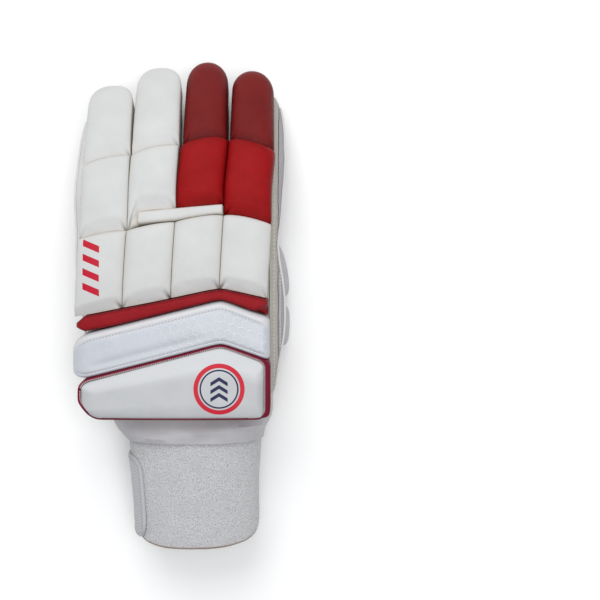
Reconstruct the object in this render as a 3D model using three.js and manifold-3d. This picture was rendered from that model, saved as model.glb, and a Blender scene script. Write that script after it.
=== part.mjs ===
// Left-hand cricket batting glove, lying palm down: a hollow leather glove with four finger
// stalls and a tucked thumb, foam finger rolls on its back, a padded cuff and a towelling band.
// Millimetres, +Z up, +Y towards the fingertips, +X towards the thumb.
import * as THREE from "three";
import { mergeVertices } from "three/addons/utils/BufferGeometryUtils.js";
import Module from "manifold-3d";

const wasm = await Module();
wasm.setup();

// Driving dimensions. Lengths run along the back of the hand from the wristband's hem.
const leather = 2; // wall of the palm, stalls and sleeve
const towelling = 4; // wall of the wristband
const seam = 0.4; // gap left where two pieces meet
const rollGap = 0.7; // gap between neighbouring finger rolls
const seat = 0.6; // gap under the rolls and the cuff
const bandLength = 69;
const bandTuck = 5; // length of band hidden inside the sleeve
const bandHalfHeight = 25;
const bandLeft = -31.5;
const bandRight = 53.5;
const hemLean = 8; // how far the hem's top reaches past its middle
const sleeveLength = 29;
const cuffRise = 19; // from the band to the cuff's lower edge
const cuffHeight = 42.2; // at the cuff's peak
const patternBandHeight = 25.8;
const redRollWidth = 9.6;
const redRollThickness = 15;
const knuckleRow = 40.8; // lengths of the rows of finger rolls, at the peak
const middleRow = 46;
const splitBarWidth = 5;
const splitBarThickness = 15;
const rollPitch = 29.7; // finger to finger
const knuckleFan = 0.08; // sideways, over the knuckle row's length, as a share of the pitch
const rollThickness = 15.5;
const rollSide = 5.5; // height of a roll's upright side
const stallWidth = 27.4;
const stallHalfHeight = 12;
const cuffThickness = 17;
const cuffEdge = 12; // thickness of the cuff at its welt
const patternBandThickness = 14;
const weltWidth = 1.5;
const cuffFlare = 3.2; // how far the welt runs out at the thumb side
const thumbRadius = 12.5;
const thumbRollThickness = 9;
const tabThickness = 2.2;
const crossArch = 3; // how far the hand's sides drop below its middle
const wristRise = 6.2; // slopes of the hand's back, in degrees
const knuckleFall = -8;
const fingertipFall = -36.2;

// What follows from them: places along the hand.
const cuffLow = bandLength + cuffRise;
const cuffPeak = cuffLow + cuffHeight;
const redRollPeak = cuffPeak + patternBandHeight + redRollWidth / 2;
const knuckleLine = redRollPeak + redRollWidth / 2 + knuckleRow;
const middleLine = knuckleLine + middleRow;
const sleeveEnd = bandLength + sleeveLength;
const halfHand = 2 * rollPitch;
const peakAcross = 0.95 * rollPitch; // the rows peak between the index and middle fingers

// The four fingers, from little to index. reach: tip beyond the middle line, as a share of the
// middle row. lean: how far the tip leans to the thumb side, as a share of the roll pitch.
// tip: width of the tip's roll, as a share of the others'. bulge: how far the stall's outer side
// swells past its roll, as a share of the roll pitch.
const fingers = [
  { name: "little", slot: -1.5, reach: 0.86, lean: 0.01, tip: 1, bulgeLow: 0.29, bulgeHigh: 0 },
  { name: "ring", slot: -0.5, reach: 1.145, lean: 0.035, tip: 1, bulgeLow: 0, bulgeHigh: 0 },
  { name: "middle", slot: 0.5, reach: 1.25, lean: 0.07, tip: 0.95, bulgeLow: 0, bulgeHigh: 0 },
  { name: "index", slot: 1.5, reach: 1.12, lean: 0.07, tip: 0.95, bulgeLow: 0, bulgeHigh: 0.25 },
];
const longestReach = Math.max(...fingers.map((finger) => finger.reach));
const handReach = middleLine + longestReach * middleRow;

const gloveWhite = { color: 0xdddedc, roughness: 0.55, metalness: 0 };
const leatherCream = { color: 0xc9c5bb, roughness: 0.7, metalness: 0 };
const rollRed = { color: 0x9c1216, roughness: 0.45, metalness: 0 };
const rollMaroon = { color: 0x6a1418, roughness: 0.45, metalness: 0 };
const weltMaroon = { color: 0x5c1020, roughness: 0.5, metalness: 0 };
const meshGrey = { color: 0xb9b7ba, roughness: 0.9, metalness: 0 };
const patternWhite = { color: 0xd3d6de, roughness: 0.4, metalness: 0 };
const towelWhite = { color: 0xc6c7ca, roughness: 1, metalness: 0 };

// The hand's own frame: across (to the thumb side), along (to the fingertips) and above its
// middle surface, which climbs from the wrist, turns over the knuckles and falls to the tips.
const spine = [
  { length: redRollPeak, from: wristRise, to: wristRise },
  { length: knuckleLine - redRollPeak, from: wristRise, to: knuckleFall },
  { length: handReach - knuckleLine, from: knuckleFall, to: fingertipFall },
];

function spineAt(along) {
  let y = 0;
  let z = 0;
  let left = along;
  let slope = THREE.MathUtils.degToRad(spine[0].from);
  spine.forEach((arc, i) => {
    const run = i === spine.length - 1 ? left : Math.min(left, arc.length);
    const from = THREE.MathUtils.degToRad(arc.from);
    const turn = THREE.MathUtils.degToRad(arc.to - arc.from) / arc.length;
    if (i > 0 && left <= 0) return;
    slope = from + turn * run;
    if (Math.abs(turn) < 1e-9) {
      y += run * Math.cos(from);
      z += run * Math.sin(from);
    } else {
      y += (Math.sin(slope) - Math.sin(from)) / turn;
      z += (Math.cos(from) - Math.cos(slope)) / turn;
    }
    left -= run;
  });
  return { y, z, slope };
}

function handPoint(across, along, above) {
  const { y, z, slope } = spineAt(along);
  const height = above - crossArch * (across / halfHand) ** 2;
  return new THREE.Vector3(across, y - Math.sin(slope) * height, z + Math.cos(slope) * height);
}

// Smooth value at x of a column in a table whose rows are ordered by their key column.
function tableAt(rows, key, column, x) {
  const last = rows.length - 1;
  if (x <= rows[0][key]) return rows[0][column];
  if (x >= rows[last][key]) return rows[last][column];
  const i = rows.findIndex((row) => row[key] > x) - 1;
  const slopeAt = (k) => {
    const a = rows[Math.max(k - 1, 0)];
    const b = rows[Math.min(k + 1, last)];
    return (b[column] - a[column]) / (b[key] - a[key]);
  };
  const span = rows[i + 1][key] - rows[i][key];
  const t = (x - rows[i][key]) / span;
  const ease = t * t * (3 - 2 * t);
  return (
    rows[i][column] * (1 - ease) +
    rows[i + 1][column] * ease +
    span * (slopeAt(i) * t * (1 - t) ** 2 - slopeAt(i + 1) * t * t * (1 - t))
  );
}

function range(count) {
  return [...Array(count).keys()];
}

// Closed solid through rings of points. Each end ring is covered by a strip between the two
// halves of the ring, so a crescent or a thin block is covered as neatly as an oval.
function loftGeometry(rings) {
  const positions = [];
  const count = rings[0].length;
  const face = (a, b, c) => positions.push(...a.toArray(), ...b.toArray(), ...c.toArray());
  for (const r of range(rings.length - 1)) {
    for (const i of range(count)) {
      const j = (i + 1) % count;
      face(rings[r][i], rings[r][j], rings[r + 1][i]);
      face(rings[r][j], rings[r + 1][j], rings[r + 1][i]);
    }
  }
  for (const [ring, flip] of [[rings[0], true], [rings[rings.length - 1], false]]) {
    const cap = (a, b, c) => (flip ? face(c, b, a) : face(a, b, c));
    for (let i = 0; i + 1 <= count - 2 - i; i += 1) {
      const [near, next] = [ring[i], ring[i + 1]];
      const [across, facing] = [ring[count - 2 - i], ring[count - 1 - i]];
      cap(near, next, facing);
      if (next !== across) cap(next, across, facing);
    }
  }
  return new THREE.BufferGeometry().setAttribute(
    "position",
    new THREE.Float32BufferAttribute(positions, 3),
  );
}

// A closed geometry as a manifold-3d solid, turned so that its faces point out.
function solid(geometry) {
  const merged = mergeVertices(geometry, 1e-4);
  const triVerts = new Uint32Array(merged.index.array);
  const vertProperties = merged.attributes.position.array;
  const made = () => new wasm.Manifold(new wasm.Mesh({ numProp: 3, vertProperties, triVerts }));
  const first = made();
  if (first.volume() > 0) return first;
  for (let i = 0; i < triVerts.length; i += 3) {
    [triVerts[i + 1], triVerts[i + 2]] = [triVerts[i + 2], triVerts[i + 1]];
  }
  return made();
}

const loft = (rings) => solid(loftGeometry(rings));

// A cut can leave crumbs beside a piece, and facets finer than this carry no shape.
const facet = 0.2;

function geometryOf(shape) {
  const bodies = shape.simplify(facet).decompose();
  const mesh = bodies.reduce((a, b) => (b.volume() > a.volume() ? b : a)).getMesh();
  const geometry = new THREE.BufferGeometry();
  geometry.setAttribute("position", new THREE.BufferAttribute(mesh.vertProperties, 3));
  geometry.setIndex(new THREE.BufferAttribute(mesh.triVerts, 1));
  geometry.computeVertexNormals();
  return geometry;
}

const glove = new THREE.Group();

function addPiece(name, shape, look) {
  const mesh = new THREE.Mesh(geometryOf(shape), new THREE.MeshStandardMaterial(look));
  mesh.name = name;
  glove.add(mesh);
}

// Ring round the hand: an oval with flattened sides, between two sides and two heights.
function ovalRing(along, side, power, count) {
  const middle = (side.right + side.left) / 2;
  const half = (side.right - side.left) / 2;
  const centre = (side.top + side.bottom) / 2;
  const rise = (side.top - side.bottom) / 2;
  return range(count).map((i) => {
    const angle = (2 * Math.PI * (i + 0.5)) / count;
    const c = Math.cos(angle);
    const s = Math.sin(angle);
    const across = middle + half * Math.sign(c) * Math.abs(c) ** (2 / power);
    return handPoint(across, along, centre + rise * Math.sign(s) * Math.abs(s) ** (2 / power));
  });
}

const inset = (side, wall) => ({
  left: side.left + wall,
  right: side.right - wall,
  bottom: side.bottom + wall,
  top: side.top - wall,
});

// Rows of the hand's outline from the sleeve's hem to the finger webs. at: share of the way
// from the band to the webs. left, right: shares of the half hand. bottom, top: shares of the
// stalls' half height.
const webLine = knuckleLine + 0.13 * middleRow;
const handSections = [
  { at: 0, left: -0.6, right: 0.92, bottom: -2.26, top: 2.26 },
  { at: 0.05, left: -0.68, right: 0.94, bottom: -2.27, top: 2.26 },
  { at: 0.1, left: -0.765, right: 0.985, bottom: -2.16, top: 1.98 },
  { at: 0.17, left: -0.82, right: 1.01, bottom: -2.0, top: 1.8 },
  { at: 0.3, left: -0.92, right: 1.05, bottom: -1.82, top: 1.68 },
  { at: 0.45, left: -1.0, right: 1.115, bottom: -1.68, top: 1.56 },
  { at: 0.62, left: -1.05, right: 1.13, bottom: -1.52, top: 1.42 },
  { at: 0.78, left: -1.08, right: 1.08, bottom: -1.32, top: 1.27 },
  { at: 0.89, left: -1.1, right: 1.055, bottom: -1.16, top: 1.12 },
  { at: 1, left: -1.12, right: 1.07, bottom: -1.04, top: 1.02 },
];

function handSide(along) {
  const at = (along - bandLength) / (webLine - bandLength);
  const column = (name) => tableAt(handSections, "at", name, at);
  return {
    left: column("left") * halfHand,
    right: column("right") * halfHand,
    bottom: column("bottom") * stallHalfHeight,
    top: column("top") * stallHalfHeight,
  };
}

// Height of the back that the rolls and the cuff are sewn to.
const fingerThinning = 0.12;
function backHeight(along) {
  if (along < webLine) return handSide(along).top;
  const run = (along - webLine) / (handReach - webLine);
  return stallHalfHeight * (1.02 - fingerThinning * run);
}

const fingerTip = (finger) => middleLine + finger.reach * middleRow;

// The fingers lean over within the middle row; the knuckle rolls fan to the little finger's side.
function fingerCentre(finger, along) {
  const past = THREE.MathUtils.smoothstep(along, knuckleLine + 0.3 * middleRow, middleLine);
  const before = Math.max(0, knuckleLine - along) / knuckleRow;
  return rollPitch * (finger.slot + finger.lean * past - knuckleFan * before);
}

// Outline of a finger stall. at: share of the way from its root to its tip. wide: share of the
// stall's half width. tall: share of the back's height. bulge: share of its outer swelling.
const stallSections = [
  { at: 0, wide: 1, tall: 1, bulge: 0.75 },
  { at: 0.27, wide: 1, tall: 1, bulge: 1 },
  { at: 0.56, wide: 1, tall: 1, bulge: 0.9 },
  { at: 0.8, wide: 0.96, tall: 0.96, bulge: 0.75 },
  { at: 0.94, wide: 0.79, tall: 0.78, bulge: 0.6 },
  { at: 1, wide: 0.42, tall: 0.4, bulge: 0.1 },
];
const stallRoot = webLine - 0.45 * rollPitch;

function stallRings(finger, wall) {
  const tip = fingerTip(finger) - 2 - wall;
  return stallSections.map((row) => {
    const along = stallRoot + row.at * (tip - stallRoot);
    const centre = fingerCentre(finger, along);
    const half = (stallWidth / 2) * row.wide;
    const tall = backHeight(along) * row.tall;
    const side = {
      left: centre - half - finger.bulgeLow * rollPitch * row.bulge,
      right: centre + half + finger.bulgeHigh * rollPitch * row.bulge,
      bottom: -tall,
      top: tall,
    };
    return ovalRing(along, inset(side, wall * Math.min(1, row.wide + 0.35)), 3, wall ? 8 : 12);
  });
}

// The thumb runs under the palm from its root in the hand. across, along and above are shares
// of the half hand, the way from the band to the webs, and the stalls' half height.
const thumbPath = [
  { across: 0.72, along: 0.24, above: -0.5 },
  { across: 0.79, along: 0.42, above: -1.52 },
  { across: 0.81, along: 0.58, above: -2.1 },
  { across: 0.765, along: 0.76, above: -2.27 },
  { across: 0.56, along: 0.97, above: -2.2 },
];
const thumbCurve = new THREE.CatmullRomCurve3(
  thumbPath.map((p) =>
    handPoint(
      p.across * halfHand,
      bandLength + p.along * (webLine - bandLength),
      p.above * stallHalfHeight,
    ),
  ),
);

function thumbFrame(t) {
  const forward = thumbCurve.getTangentAt(t);
  const outward = new THREE.Vector3().crossVectors(forward, new THREE.Vector3(0, 0, 1));
  outward.normalize();
  return { at: thumbCurve.getPointAt(t), outward, up: outward.clone().cross(forward) };
}

function thumbPoint(t, angle, radius) {
  const { at, outward, up } = thumbFrame(t);
  const flat = 0.92; // the thumb is a little wider than it is thick
  return at
    .addScaledVector(outward, Math.cos(angle) * radius)
    .addScaledVector(up, Math.sin(angle) * radius * flat);
}

// t: share of the thumb's length. round: share of its radius.
const thumbSections = [
  { t: 0, round: 1.08 },
  { t: 0.25, round: 1.08 },
  { t: 0.5, round: 1.03 },
  { t: 0.75, round: 1 },
  { t: 0.88, round: 0.93 },
  { t: 0.96, round: 0.68 },
  { t: 1, round: 0.35 },
];

const thumbTube = (wall) =>
  loft(
    thumbSections.map((row) =>
      range(14).map((i) =>
        thumbPoint(
          row.t * (1 - wall / thumbCurve.getLength()),
          (2 * Math.PI * i) / 14,
          Math.max(thumbRadius * row.round - wall, 1),
        ),
      ),
    ),
  );

// A bent block of the hand's frame, used to part the shell into its panels.
function bentBlock(across, along, above) {
  const steps = Math.ceil((along[1] - along[0]) / 24);
  const columns = Math.max(1, Math.ceil((across[1] - across[0]) / 34));
  const rings = range(steps + 1).map((r) => {
    const v = THREE.MathUtils.lerp(along[0], along[1], r / steps);
    const row = (height, flip) =>
      range(columns + 1).map((c) => {
        const share = flip ? 1 - c / columns : c / columns;
        return handPoint(THREE.MathUtils.lerp(across[0], across[1], share), v, height);
      });
    return [...row(above[0], false), ...row(above[1], true)];
  });
  return loft(rings);
}

// The leather shell: hand and stalls in one, hollow from the sleeve to each fingertip.
const handStations = [0, 0.05, 0.1, 0.17, 0.3, 0.45, 0.62, 0.8, 1];
const handRings = (wall, grow) =>
  handStations.map((at, i) => {
    const last = i === handStations.length - 1;
    const along = bandLength + at * (webLine - bandLength) - (last ? wall : 0);
    const start = i === 0 && wall > 0 ? along - 3 : along;
    return ovalRing(start, inset(handSide(along), wall - grow), 3, wall ? 16 : 24);
  });

const handOuter = loft(handRings(0, 0));
const stallsOuter = fingers.map((finger) => loft(stallRings(finger, 0)));
const hollow = wasm.Manifold.union([
  loft(handRings(leather, 0)),
  ...fingers.map((finger) => loft(stallRings(finger, leather))),
]);
const thumbOuter = thumbTube(0);
const thumbHollow = thumbTube(leather);
const shell = wasm.Manifold.union([handOuter, ...stallsOuter]).subtract(hollow);
const openShell = shell.subtract(thumbHollow);

const wide = 2.2 * halfHand;
const farAlong = handReach + 40;
const gussetTop = 0.34 * stallHalfHeight;
const gussetBottom = -0.5 * stallHalfHeight;
const stripEdge = halfHand - 2;
const deep = 5 * stallHalfHeight;

const sleeve = openShell.intersect(bentBlock([-wide, wide], [0, sleeveEnd], [-deep, deep]));
const hand = openShell.intersect(
  bentBlock([-wide, wide], [sleeveEnd + seam, farAlong], [-deep, deep]),
);
const handLayer = (across, low, high) =>
  hand.intersect(bentBlock(across, [sleeveEnd - 5, farAlong], [low, high]));

addPiece("palm", handLayer([-wide, wide], -deep, gussetBottom), leatherCream);
addPiece(
  "mesh_gusset",
  handLayer([-wide, wide], gussetBottom + seam, gussetTop),
  meshGrey,
);
addPiece(
  "hand_back",
  handLayer([-stripEdge, stripEdge], gussetTop + seam, deep),
  leatherCream,
);
addPiece(
  "index_side_strip",
  handLayer([stripEdge + seam, wide], gussetTop + seam, deep),
  leatherCream,
);
addPiece(
  "little_side_strip",
  handLayer([-wide, -stripEdge - seam], gussetTop + seam, deep),
  gloveWhite,
);
addPiece("wrist_sleeve", sleeve, gloveWhite);

const handClear = loft(handRings(0, seam));
addPiece("thumb_stall", thumbOuter.subtract(thumbHollow).subtract(handClear), leatherCream);

// Thumb rolls: crescents on the thumb's outer side.
// from, to: shares of the thumb's length. highest: angle of its upper edge, in radians.
function thumbRoll(from, to, highest) {
  const ends = [
    { at: 0, thick: 0.45 },
    { at: 0.12, thick: 0.9 },
    { at: 0.35, thick: 1 },
    { at: 0.68, thick: 1 },
    { at: 0.9, thick: 0.85 },
    { at: 1, thick: 0.5 },
  ];
  const lowest = -1.2; // angle of its lower edge
  const points = 8;
  return loft(
    ends.map((end) => {
      const t = THREE.MathUtils.lerp(from, to, end.at);
      const inner = thumbRadius * tableAt(thumbSections, "t", "round", t) + 2 * seam;
      const arc = (radius, k) =>
        thumbPoint(t, THREE.MathUtils.lerp(highest, lowest, k / points), radius);
      const outside = range(points + 1).map((k) => {
        const share = Math.abs(1 - (2 * k) / points);
        const swell = 0.3 + 0.7 * (1 - share ** 2.4) ** 0.5;
        return arc(inner + thumbRollThickness * end.thick * swell, k);
      });
      const inside = range(points + 1).map((k) => arc(inner, points - k));
      return [...outside, ...inside];
    }),
  );
}
addPiece("thumb_roll_base", thumbRoll(0.25, 0.5, 0.3), gloveWhite);
addPiece("thumb_roll_tip", thumbRoll(0.515, 0.93, 0.8), gloveWhite);

// The rows of rolls share one arched line: it peaks beside the index finger and falls away
// to both sides, softly turned at the peak.
// fallLittle, fallIndex: fall per length to either side. soft: roundness of the peak, as a share
// of the roll pitch.
const lines = {
  cuff: { peak: cuffPeak, fallLittle: 0.262, fallIndex: 0.38, soft: 0.1 },
  pattern: {
    peak: redRollPeak - redRollWidth / 2 + 3.4,
    fallLittle: 0.252,
    fallIndex: 0.3,
    soft: 0.1,
  },
  redRoll: { peak: redRollPeak, fallLittle: 0.2, fallIndex: 0.23, soft: 0.2 },
  knuckle: { peak: knuckleLine, fallLittle: 0.164, fallIndex: 0.19, soft: 0.2 },
  middle: { peak: middleLine, fallLittle: 0.2, fallIndex: 0.23, soft: 0.2 },
};

function lineAt({ peak, fallLittle, fallIndex, soft }, across) {
  const off = across - peakAcross;
  const turn = soft * rollPitch;
  const run = Math.sqrt(off * off + turn * turn) - turn;
  return peak - run * (off < 0 ? fallLittle : fallIndex);
}
const cuffTopLine = (across) => lineAt(lines.cuff, across);
const patternTopLine = (across) => lineAt(lines.pattern, across);
const redRollLine = (across) => lineAt(lines.redRoll, across);
const knuckleTopLine = (across) => lineAt(lines.knuckle, across);
const middleTopLine = (across) => lineAt(lines.middle, across);

// The white split bar lies between the rows, over the ring and middle fingers.
const splitBarLeft = -0.79 * rollPitch;
const splitBarRight = rollPitch - 0.3;
const splitBarSlope = 0.085;
const splitBarLine = (across) =>
  knuckleTopLine(splitBarRight) + seam + splitBarWidth / 2 + 0.6 +
  splitBarSlope * (across - splitBarRight);

function middleLowLine(finger) {
  const plain = (across) => knuckleTopLine(across) + rollGap;
  if (finger.name === "little" || finger.name === "index") return plain;
  const ramp = 0.1 * rollPitch;
  return (across) => {
    const over = THREE.MathUtils.smoothstep(across, splitBarLeft - ramp, splitBarLeft);
    const bar = splitBarLine(across) + splitBarWidth / 2 + seam;
    return THREE.MathUtils.lerp(plain(across), Math.max(bar, plain(across)), over);
  };
}
const knuckleHighLine = (across) =>
  Math.min(
    knuckleTopLine(across),
    across > splitBarLeft && across < splitBarRight
      ? splitBarLine(across) - splitBarWidth / 2 - seam
      : Infinity,
  );

// Share of full thickness along a roll, from its sloped wrist end to its upright finger end.
const rollEnds = [
  { at: 0, rise: 0.3 },
  { at: 0.07, rise: 0.5 },
  { at: 0.2, rise: 0.9 },
  { at: 0.36, rise: 1 },
  { at: 0.66, rise: 1 },
  { at: 0.9, rise: 0.97 },
  { at: 1, rise: 0.8 },
];
const tipEnds = [
  { at: 0, rise: 0.3, wide: 1 },
  { at: 0.06, rise: 0.5, wide: 1 },
  { at: 0.17, rise: 0.9, wide: 1 },
  { at: 0.32, rise: 1, wide: 1 },
  { at: 0.52, rise: 1, wide: 1 },
  { at: 0.7, rise: 0.98, wide: 0.985 },
  { at: 0.82, rise: 0.93, wide: 0.94 },
  { at: 0.9, rise: 0.86, wide: 0.83 },
  { at: 0.96, rise: 0.74, wide: 0.64 },
  { at: 1, rise: 0.5, wide: 0.36 },
];
const rollProfile = (s) => (1 - Math.abs(s) ** 2.5) ** (1 / 2.1);

// One foam roll between two lines across the hand. Its ring runs up one side, over the top
// and down the other, above the back that it is sewn to.
function roll(finger, ends, lowLine, highLine) {
  const points = 8;
  const half = (rollPitch - rollGap) / 2;
  const rings = ends.map((end) => {
    const width = half * (end.wide ? end.wide * finger.tip : 1);
    const place = (s, lift) => {
      const lineUp = (across) =>
        THREE.MathUtils.lerp(lowLine(across), highLine(across), end.at);
      const centre = fingerCentre(finger, lineUp(finger.slot * rollPitch + s * width));
      const along = lineUp(centre + s * width);
      return handPoint(centre + s * width, along, backHeight(along) + seat + lift);
    };
    const top = range(points + 1).map((k) => {
      const s = -Math.cos((Math.PI * k) / points);
      return place(s, end.rise * (rollSide + (rollThickness - rollSide) * rollProfile(s)));
    });
    return [place(-1, 0), ...top, place(1, 0)];
  });
  return loft(rings);
}

// A padded bar laid across the hand, lofted from side to side. For each station it takes the
// two edges along the hand and the thickness, and its section is a rounded arch.
function crossPad(stations, points, sideShare, power, sink = 0) {
  return loft(
    stations.map(({ across, low, high, thick }) => {
      const middle = (low + high) / 2;
      const half = (high - low) / 2;
      const place = (s, lift) =>
        handPoint(across, middle + s * half, backHeight(middle + s * half) + seat + lift);
      const top = range(points + 1).map((k) => {
        const s = -Math.cos((Math.PI * k) / points);
        const arch = (1 - Math.abs(s) ** power) ** (1 / power);
        return place(s, thick * (sideShare + (1 - sideShare) * arch));
      });
      const base = range(3).map((k) => place(1 - k, -sink));
      return [...top, ...base];
    }),
  );
}

// Stations along a bar, with both ends drawn in. at: share of the bar. wide, thick: shares.
function barStations(from, to, line, width, thickness, ends) {
  return ends.map((end) => {
    const across = THREE.MathUtils.lerp(from, to, end.at);
    const half = (width / 2) * end.wide;
    return {
      across,
      low: line(across) - half,
      high: line(across) + half,
      thick: thickness * end.thick,
    };
  });
}

const middleStations = (count) =>
  range(count).map((i) => ({ at: 0.1 + (0.8 * i) / (count - 1), wide: 1, thick: 1 }));
const redRollEnds = [
  { at: 0, wide: 0.3, thick: 0.5 },
  { at: 0.018, wide: 0.62, thick: 0.75 },
  { at: 0.045, wide: 0.97, thick: 0.97 },
  ...middleStations(11),
  { at: 0.955, wide: 1, thick: 0.97 },
  { at: 0.982, wide: 0.85, thick: 0.8 },
  { at: 1, wide: 0.6, thick: 0.55 },
];
addPiece(
  "red_roll",
  crossPad(
    barStations(
      -halfHand - 1, halfHand - 2, redRollLine, redRollWidth, redRollThickness, redRollEnds,
    ).map((row) => ({ ...row, low: Math.max(row.low, patternTopLine(row.across) + seam) })),
    8, 0.35, 2.2,
  ),
  rollRed,
);

const splitBarEnds = [
  { at: 0, wide: 0.75, thick: 0.85 },
  { at: 0.03, wide: 1, thick: 1 },
  ...middleStations(5),
  { at: 0.97, wide: 1, thick: 1 },
  { at: 1, wide: 0.75, thick: 0.85 },
];
const splitBar = (grow, thickness, sink = 0) =>
  crossPad(
    barStations(
      splitBarLeft - grow,
      splitBarRight + grow,
      splitBarLine,
      splitBarWidth + 2 * grow,
      thickness,
      splitBarEnds,
    ),
    6, 0.6, 2.2, sink,
  );
addPiece("split_bar", splitBar(0, splitBarThickness), gloveWhite);
const splitBarClear = splitBar(2 * seam, 2 * splitBarThickness, 2 * seat);

for (const finger of fingers) {
  const red = finger.name === "middle" || finger.name === "index";
  const redRollTop = (across) => redRollLine(across) + redRollWidth / 2 + 2 * seam;
  addPiece(`roll_knuckle_${finger.name}`, roll(finger, rollEnds, redRollTop, knuckleHighLine), gloveWhite);
  addPiece(
    `roll_middle_${finger.name}`,
    roll(finger, rollEnds, middleLowLine(finger), middleTopLine).subtract(splitBarClear),
    red ? rollRed : gloveWhite,
  );
  addPiece(
    `roll_tip_${finger.name}`,
    roll(
      finger,
      tipEnds,
      (across) => middleTopLine(across) + rollGap,
      () => fingerTip(finger),
    ),
    red ? rollMaroon : gloveWhite,
  );
}

// The patterned band fills the way from the red roll to the cuff.
const patternLeft = -1.085 * halfHand;
const patternRight = 0.98 * halfHand;
const patternEnds = [
  { at: 0, low: 0.22, high: 0.3, thick: 0.35 },
  { at: 0.012, low: 0.12, high: 0.18, thick: 0.6 },
  { at: 0.04, low: 0.03, high: 0.05, thick: 0.86 },
  { at: 0.09, low: 0, high: 0, thick: 1 },
  ...range(9).map((i) => ({ at: 0.16 + 0.09 * i, low: 0, high: 0, thick: 1 })),
  { at: 0.955, low: 0, high: 0, thick: 0.95 },
  { at: 0.985, low: 0.03, high: 0.03, thick: 0.75 },
  { at: 1, low: 0.08, high: 0.1, thick: 0.5 },
];
addPiece(
  "pattern_band",
  crossPad(
    patternEnds.map((end) => {
      const across = THREE.MathUtils.lerp(patternLeft, patternRight, end.at);
      const low = cuffTopLine(across) + weltWidth + 2 * seam;
      const high = patternTopLine(across);
      return {
        across,
        low: low + end.low * (high - low),
        high: high - end.high * (high - low),
        thick: patternBandThickness * end.thick,
      };
    }),
    8, 0.3, 2.6,
  ),
  patternWhite,
);

// The cuff panel and the welt round it share one outline. low, high: how far the edges draw
// in at that place, as shares of the cuff's height.
const cuffLeft = -0.975 * halfHand;
const cuffRight = 0.925 * halfHand;
const cuffOutline = [
  { at: 0, low: 0.25, high: 0.075 },
  { at: 0.006, low: 0.21, high: 0.04 },
  { at: 0.022, low: 0.145, high: 0.012 },
  { at: 0.05, low: 0.06, high: 0 },
  { at: 0.085, low: 0.01, high: 0 },
  { at: 0.12, low: 0, high: 0 },
  ...range(8).map((i) => ({ at: 0.2 + 0.096 * i, low: 0, high: 0 })),
  { at: 0.95, low: 0, high: 0 },
  { at: 0.985, low: 0.02, high: 0.01 },
  { at: 1, low: 0.08, high: 0.05 },
];

// The cuff's flat outer face, level in the part's frame.
const cuffTilt = Math.tan(THREE.MathUtils.degToRad(wristRise));
const cuffFace = (across, along) =>
  backHeight(cuffLow) + seat + cuffThickness - cuffTilt * (along - cuffLow) +
  crossArch * (across / halfHand) ** 2;

// drop: how far below that face the top lies at a share of the height and of the width.
function cuffShape(grow, flare, base, drop) {
  return loft(
    cuffOutline.map((row, i) => {
      const end = i === 0 ? -1 : i === cuffOutline.length - 1 ? 1 : 0;
      const inner = THREE.MathUtils.lerp(cuffLeft, cuffRight, row.at);
      const across = inner + (end < 0 ? -grow : end > 0 ? flare : 0);
      const low = cuffLow + row.low * cuffHeight - grow;
      const high = cuffTopLine(inner) - row.high * cuffHeight + grow;
      const points = 8;
      const alongAt = (k) => THREE.MathUtils.lerp(low, high, k / points);
      const top = (k) =>
        handPoint(across, alongAt(k), cuffFace(across, alongAt(k)) - drop(k / points, row.at));
      const bottom = (k) => handPoint(across, alongAt(k), backHeight(alongAt(k)) + seat + base);
      return [
        ...range(points + 1).map(top),
        ...range(points + 1).map((k) => bottom(points - k)),
      ];
    }),
  );
}

// The panel has bevels to its upper, lower and little-finger edges.
const bevel = (share, width) => Math.min(1, Math.max(0, share) / width);
function cuffBevel(share, at) {
  const across = Math.min(bevel(at, 0.1), bevel(1 - at, 0.06));
  const along = Math.min(bevel(1 - share, 0.25), bevel(share, 0.125));
  return (cuffThickness - cuffEdge) * (1 - Math.min(across, along));
}
addPiece("cuff_panel", cuffShape(0, 0, 0, cuffBevel), gloveWhite);

const cuffClear = cuffShape(seam, seam, -cuffEdge, () => -cuffEdge);
addPiece(
  "cuff_welt",
  cuffShape(weltWidth, cuffFlare, 0, () => cuffThickness - cuffEdge).subtract(cuffClear),
  weltMaroon,
);

// The towelling band: a flattened tube, open at both ends, that slips up inside the sleeve.
// at: share of the band. left, right: how far each side draws in, as shares of the half hand.
const bandSections = [
  { at: 0, left: 0.075, right: 0.075, tall: 0.985 },
  { at: 0.06, left: 0.055, right: 0.06, tall: 1 },
  { at: 0.3, left: 0.045, right: 0.055, tall: 1 },
  { at: 0.6, left: 0.02, right: 0.05, tall: 0.99 },
  { at: 0.9, left: -0.015, right: 0.03, tall: 0.97 },
  { at: 1, left: 0, right: 0.06, tall: 0.96 },
];
const bandEnd = bandLength + bandTuck;
const bandPower = 2.5;
const bandSide = (at, name) => tableAt(bandSections, "at", name, at);

// The hem is cut on a slant: its underside is shorter than its top.
function leanHem(point, at) {
  const down = 1 - point.z / bandHalfHeight;
  return point.setY(point.y + hemLean * down * (1 - at) ** 2);
}

function bandRing(along, wall, count) {
  const at = along / bandEnd;
  const side = {
    left: bandLeft + bandSide(at, "left") * halfHand,
    right: bandRight - bandSide(at, "right") * halfHand,
    bottom: -bandHalfHeight * bandSide(at, "tall"),
    top: bandHalfHeight * bandSide(at, "tall"),
  };
  return ovalRing(along, inset(side, wall), bandPower, count).map((p) => leanHem(p, at));
}

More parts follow.
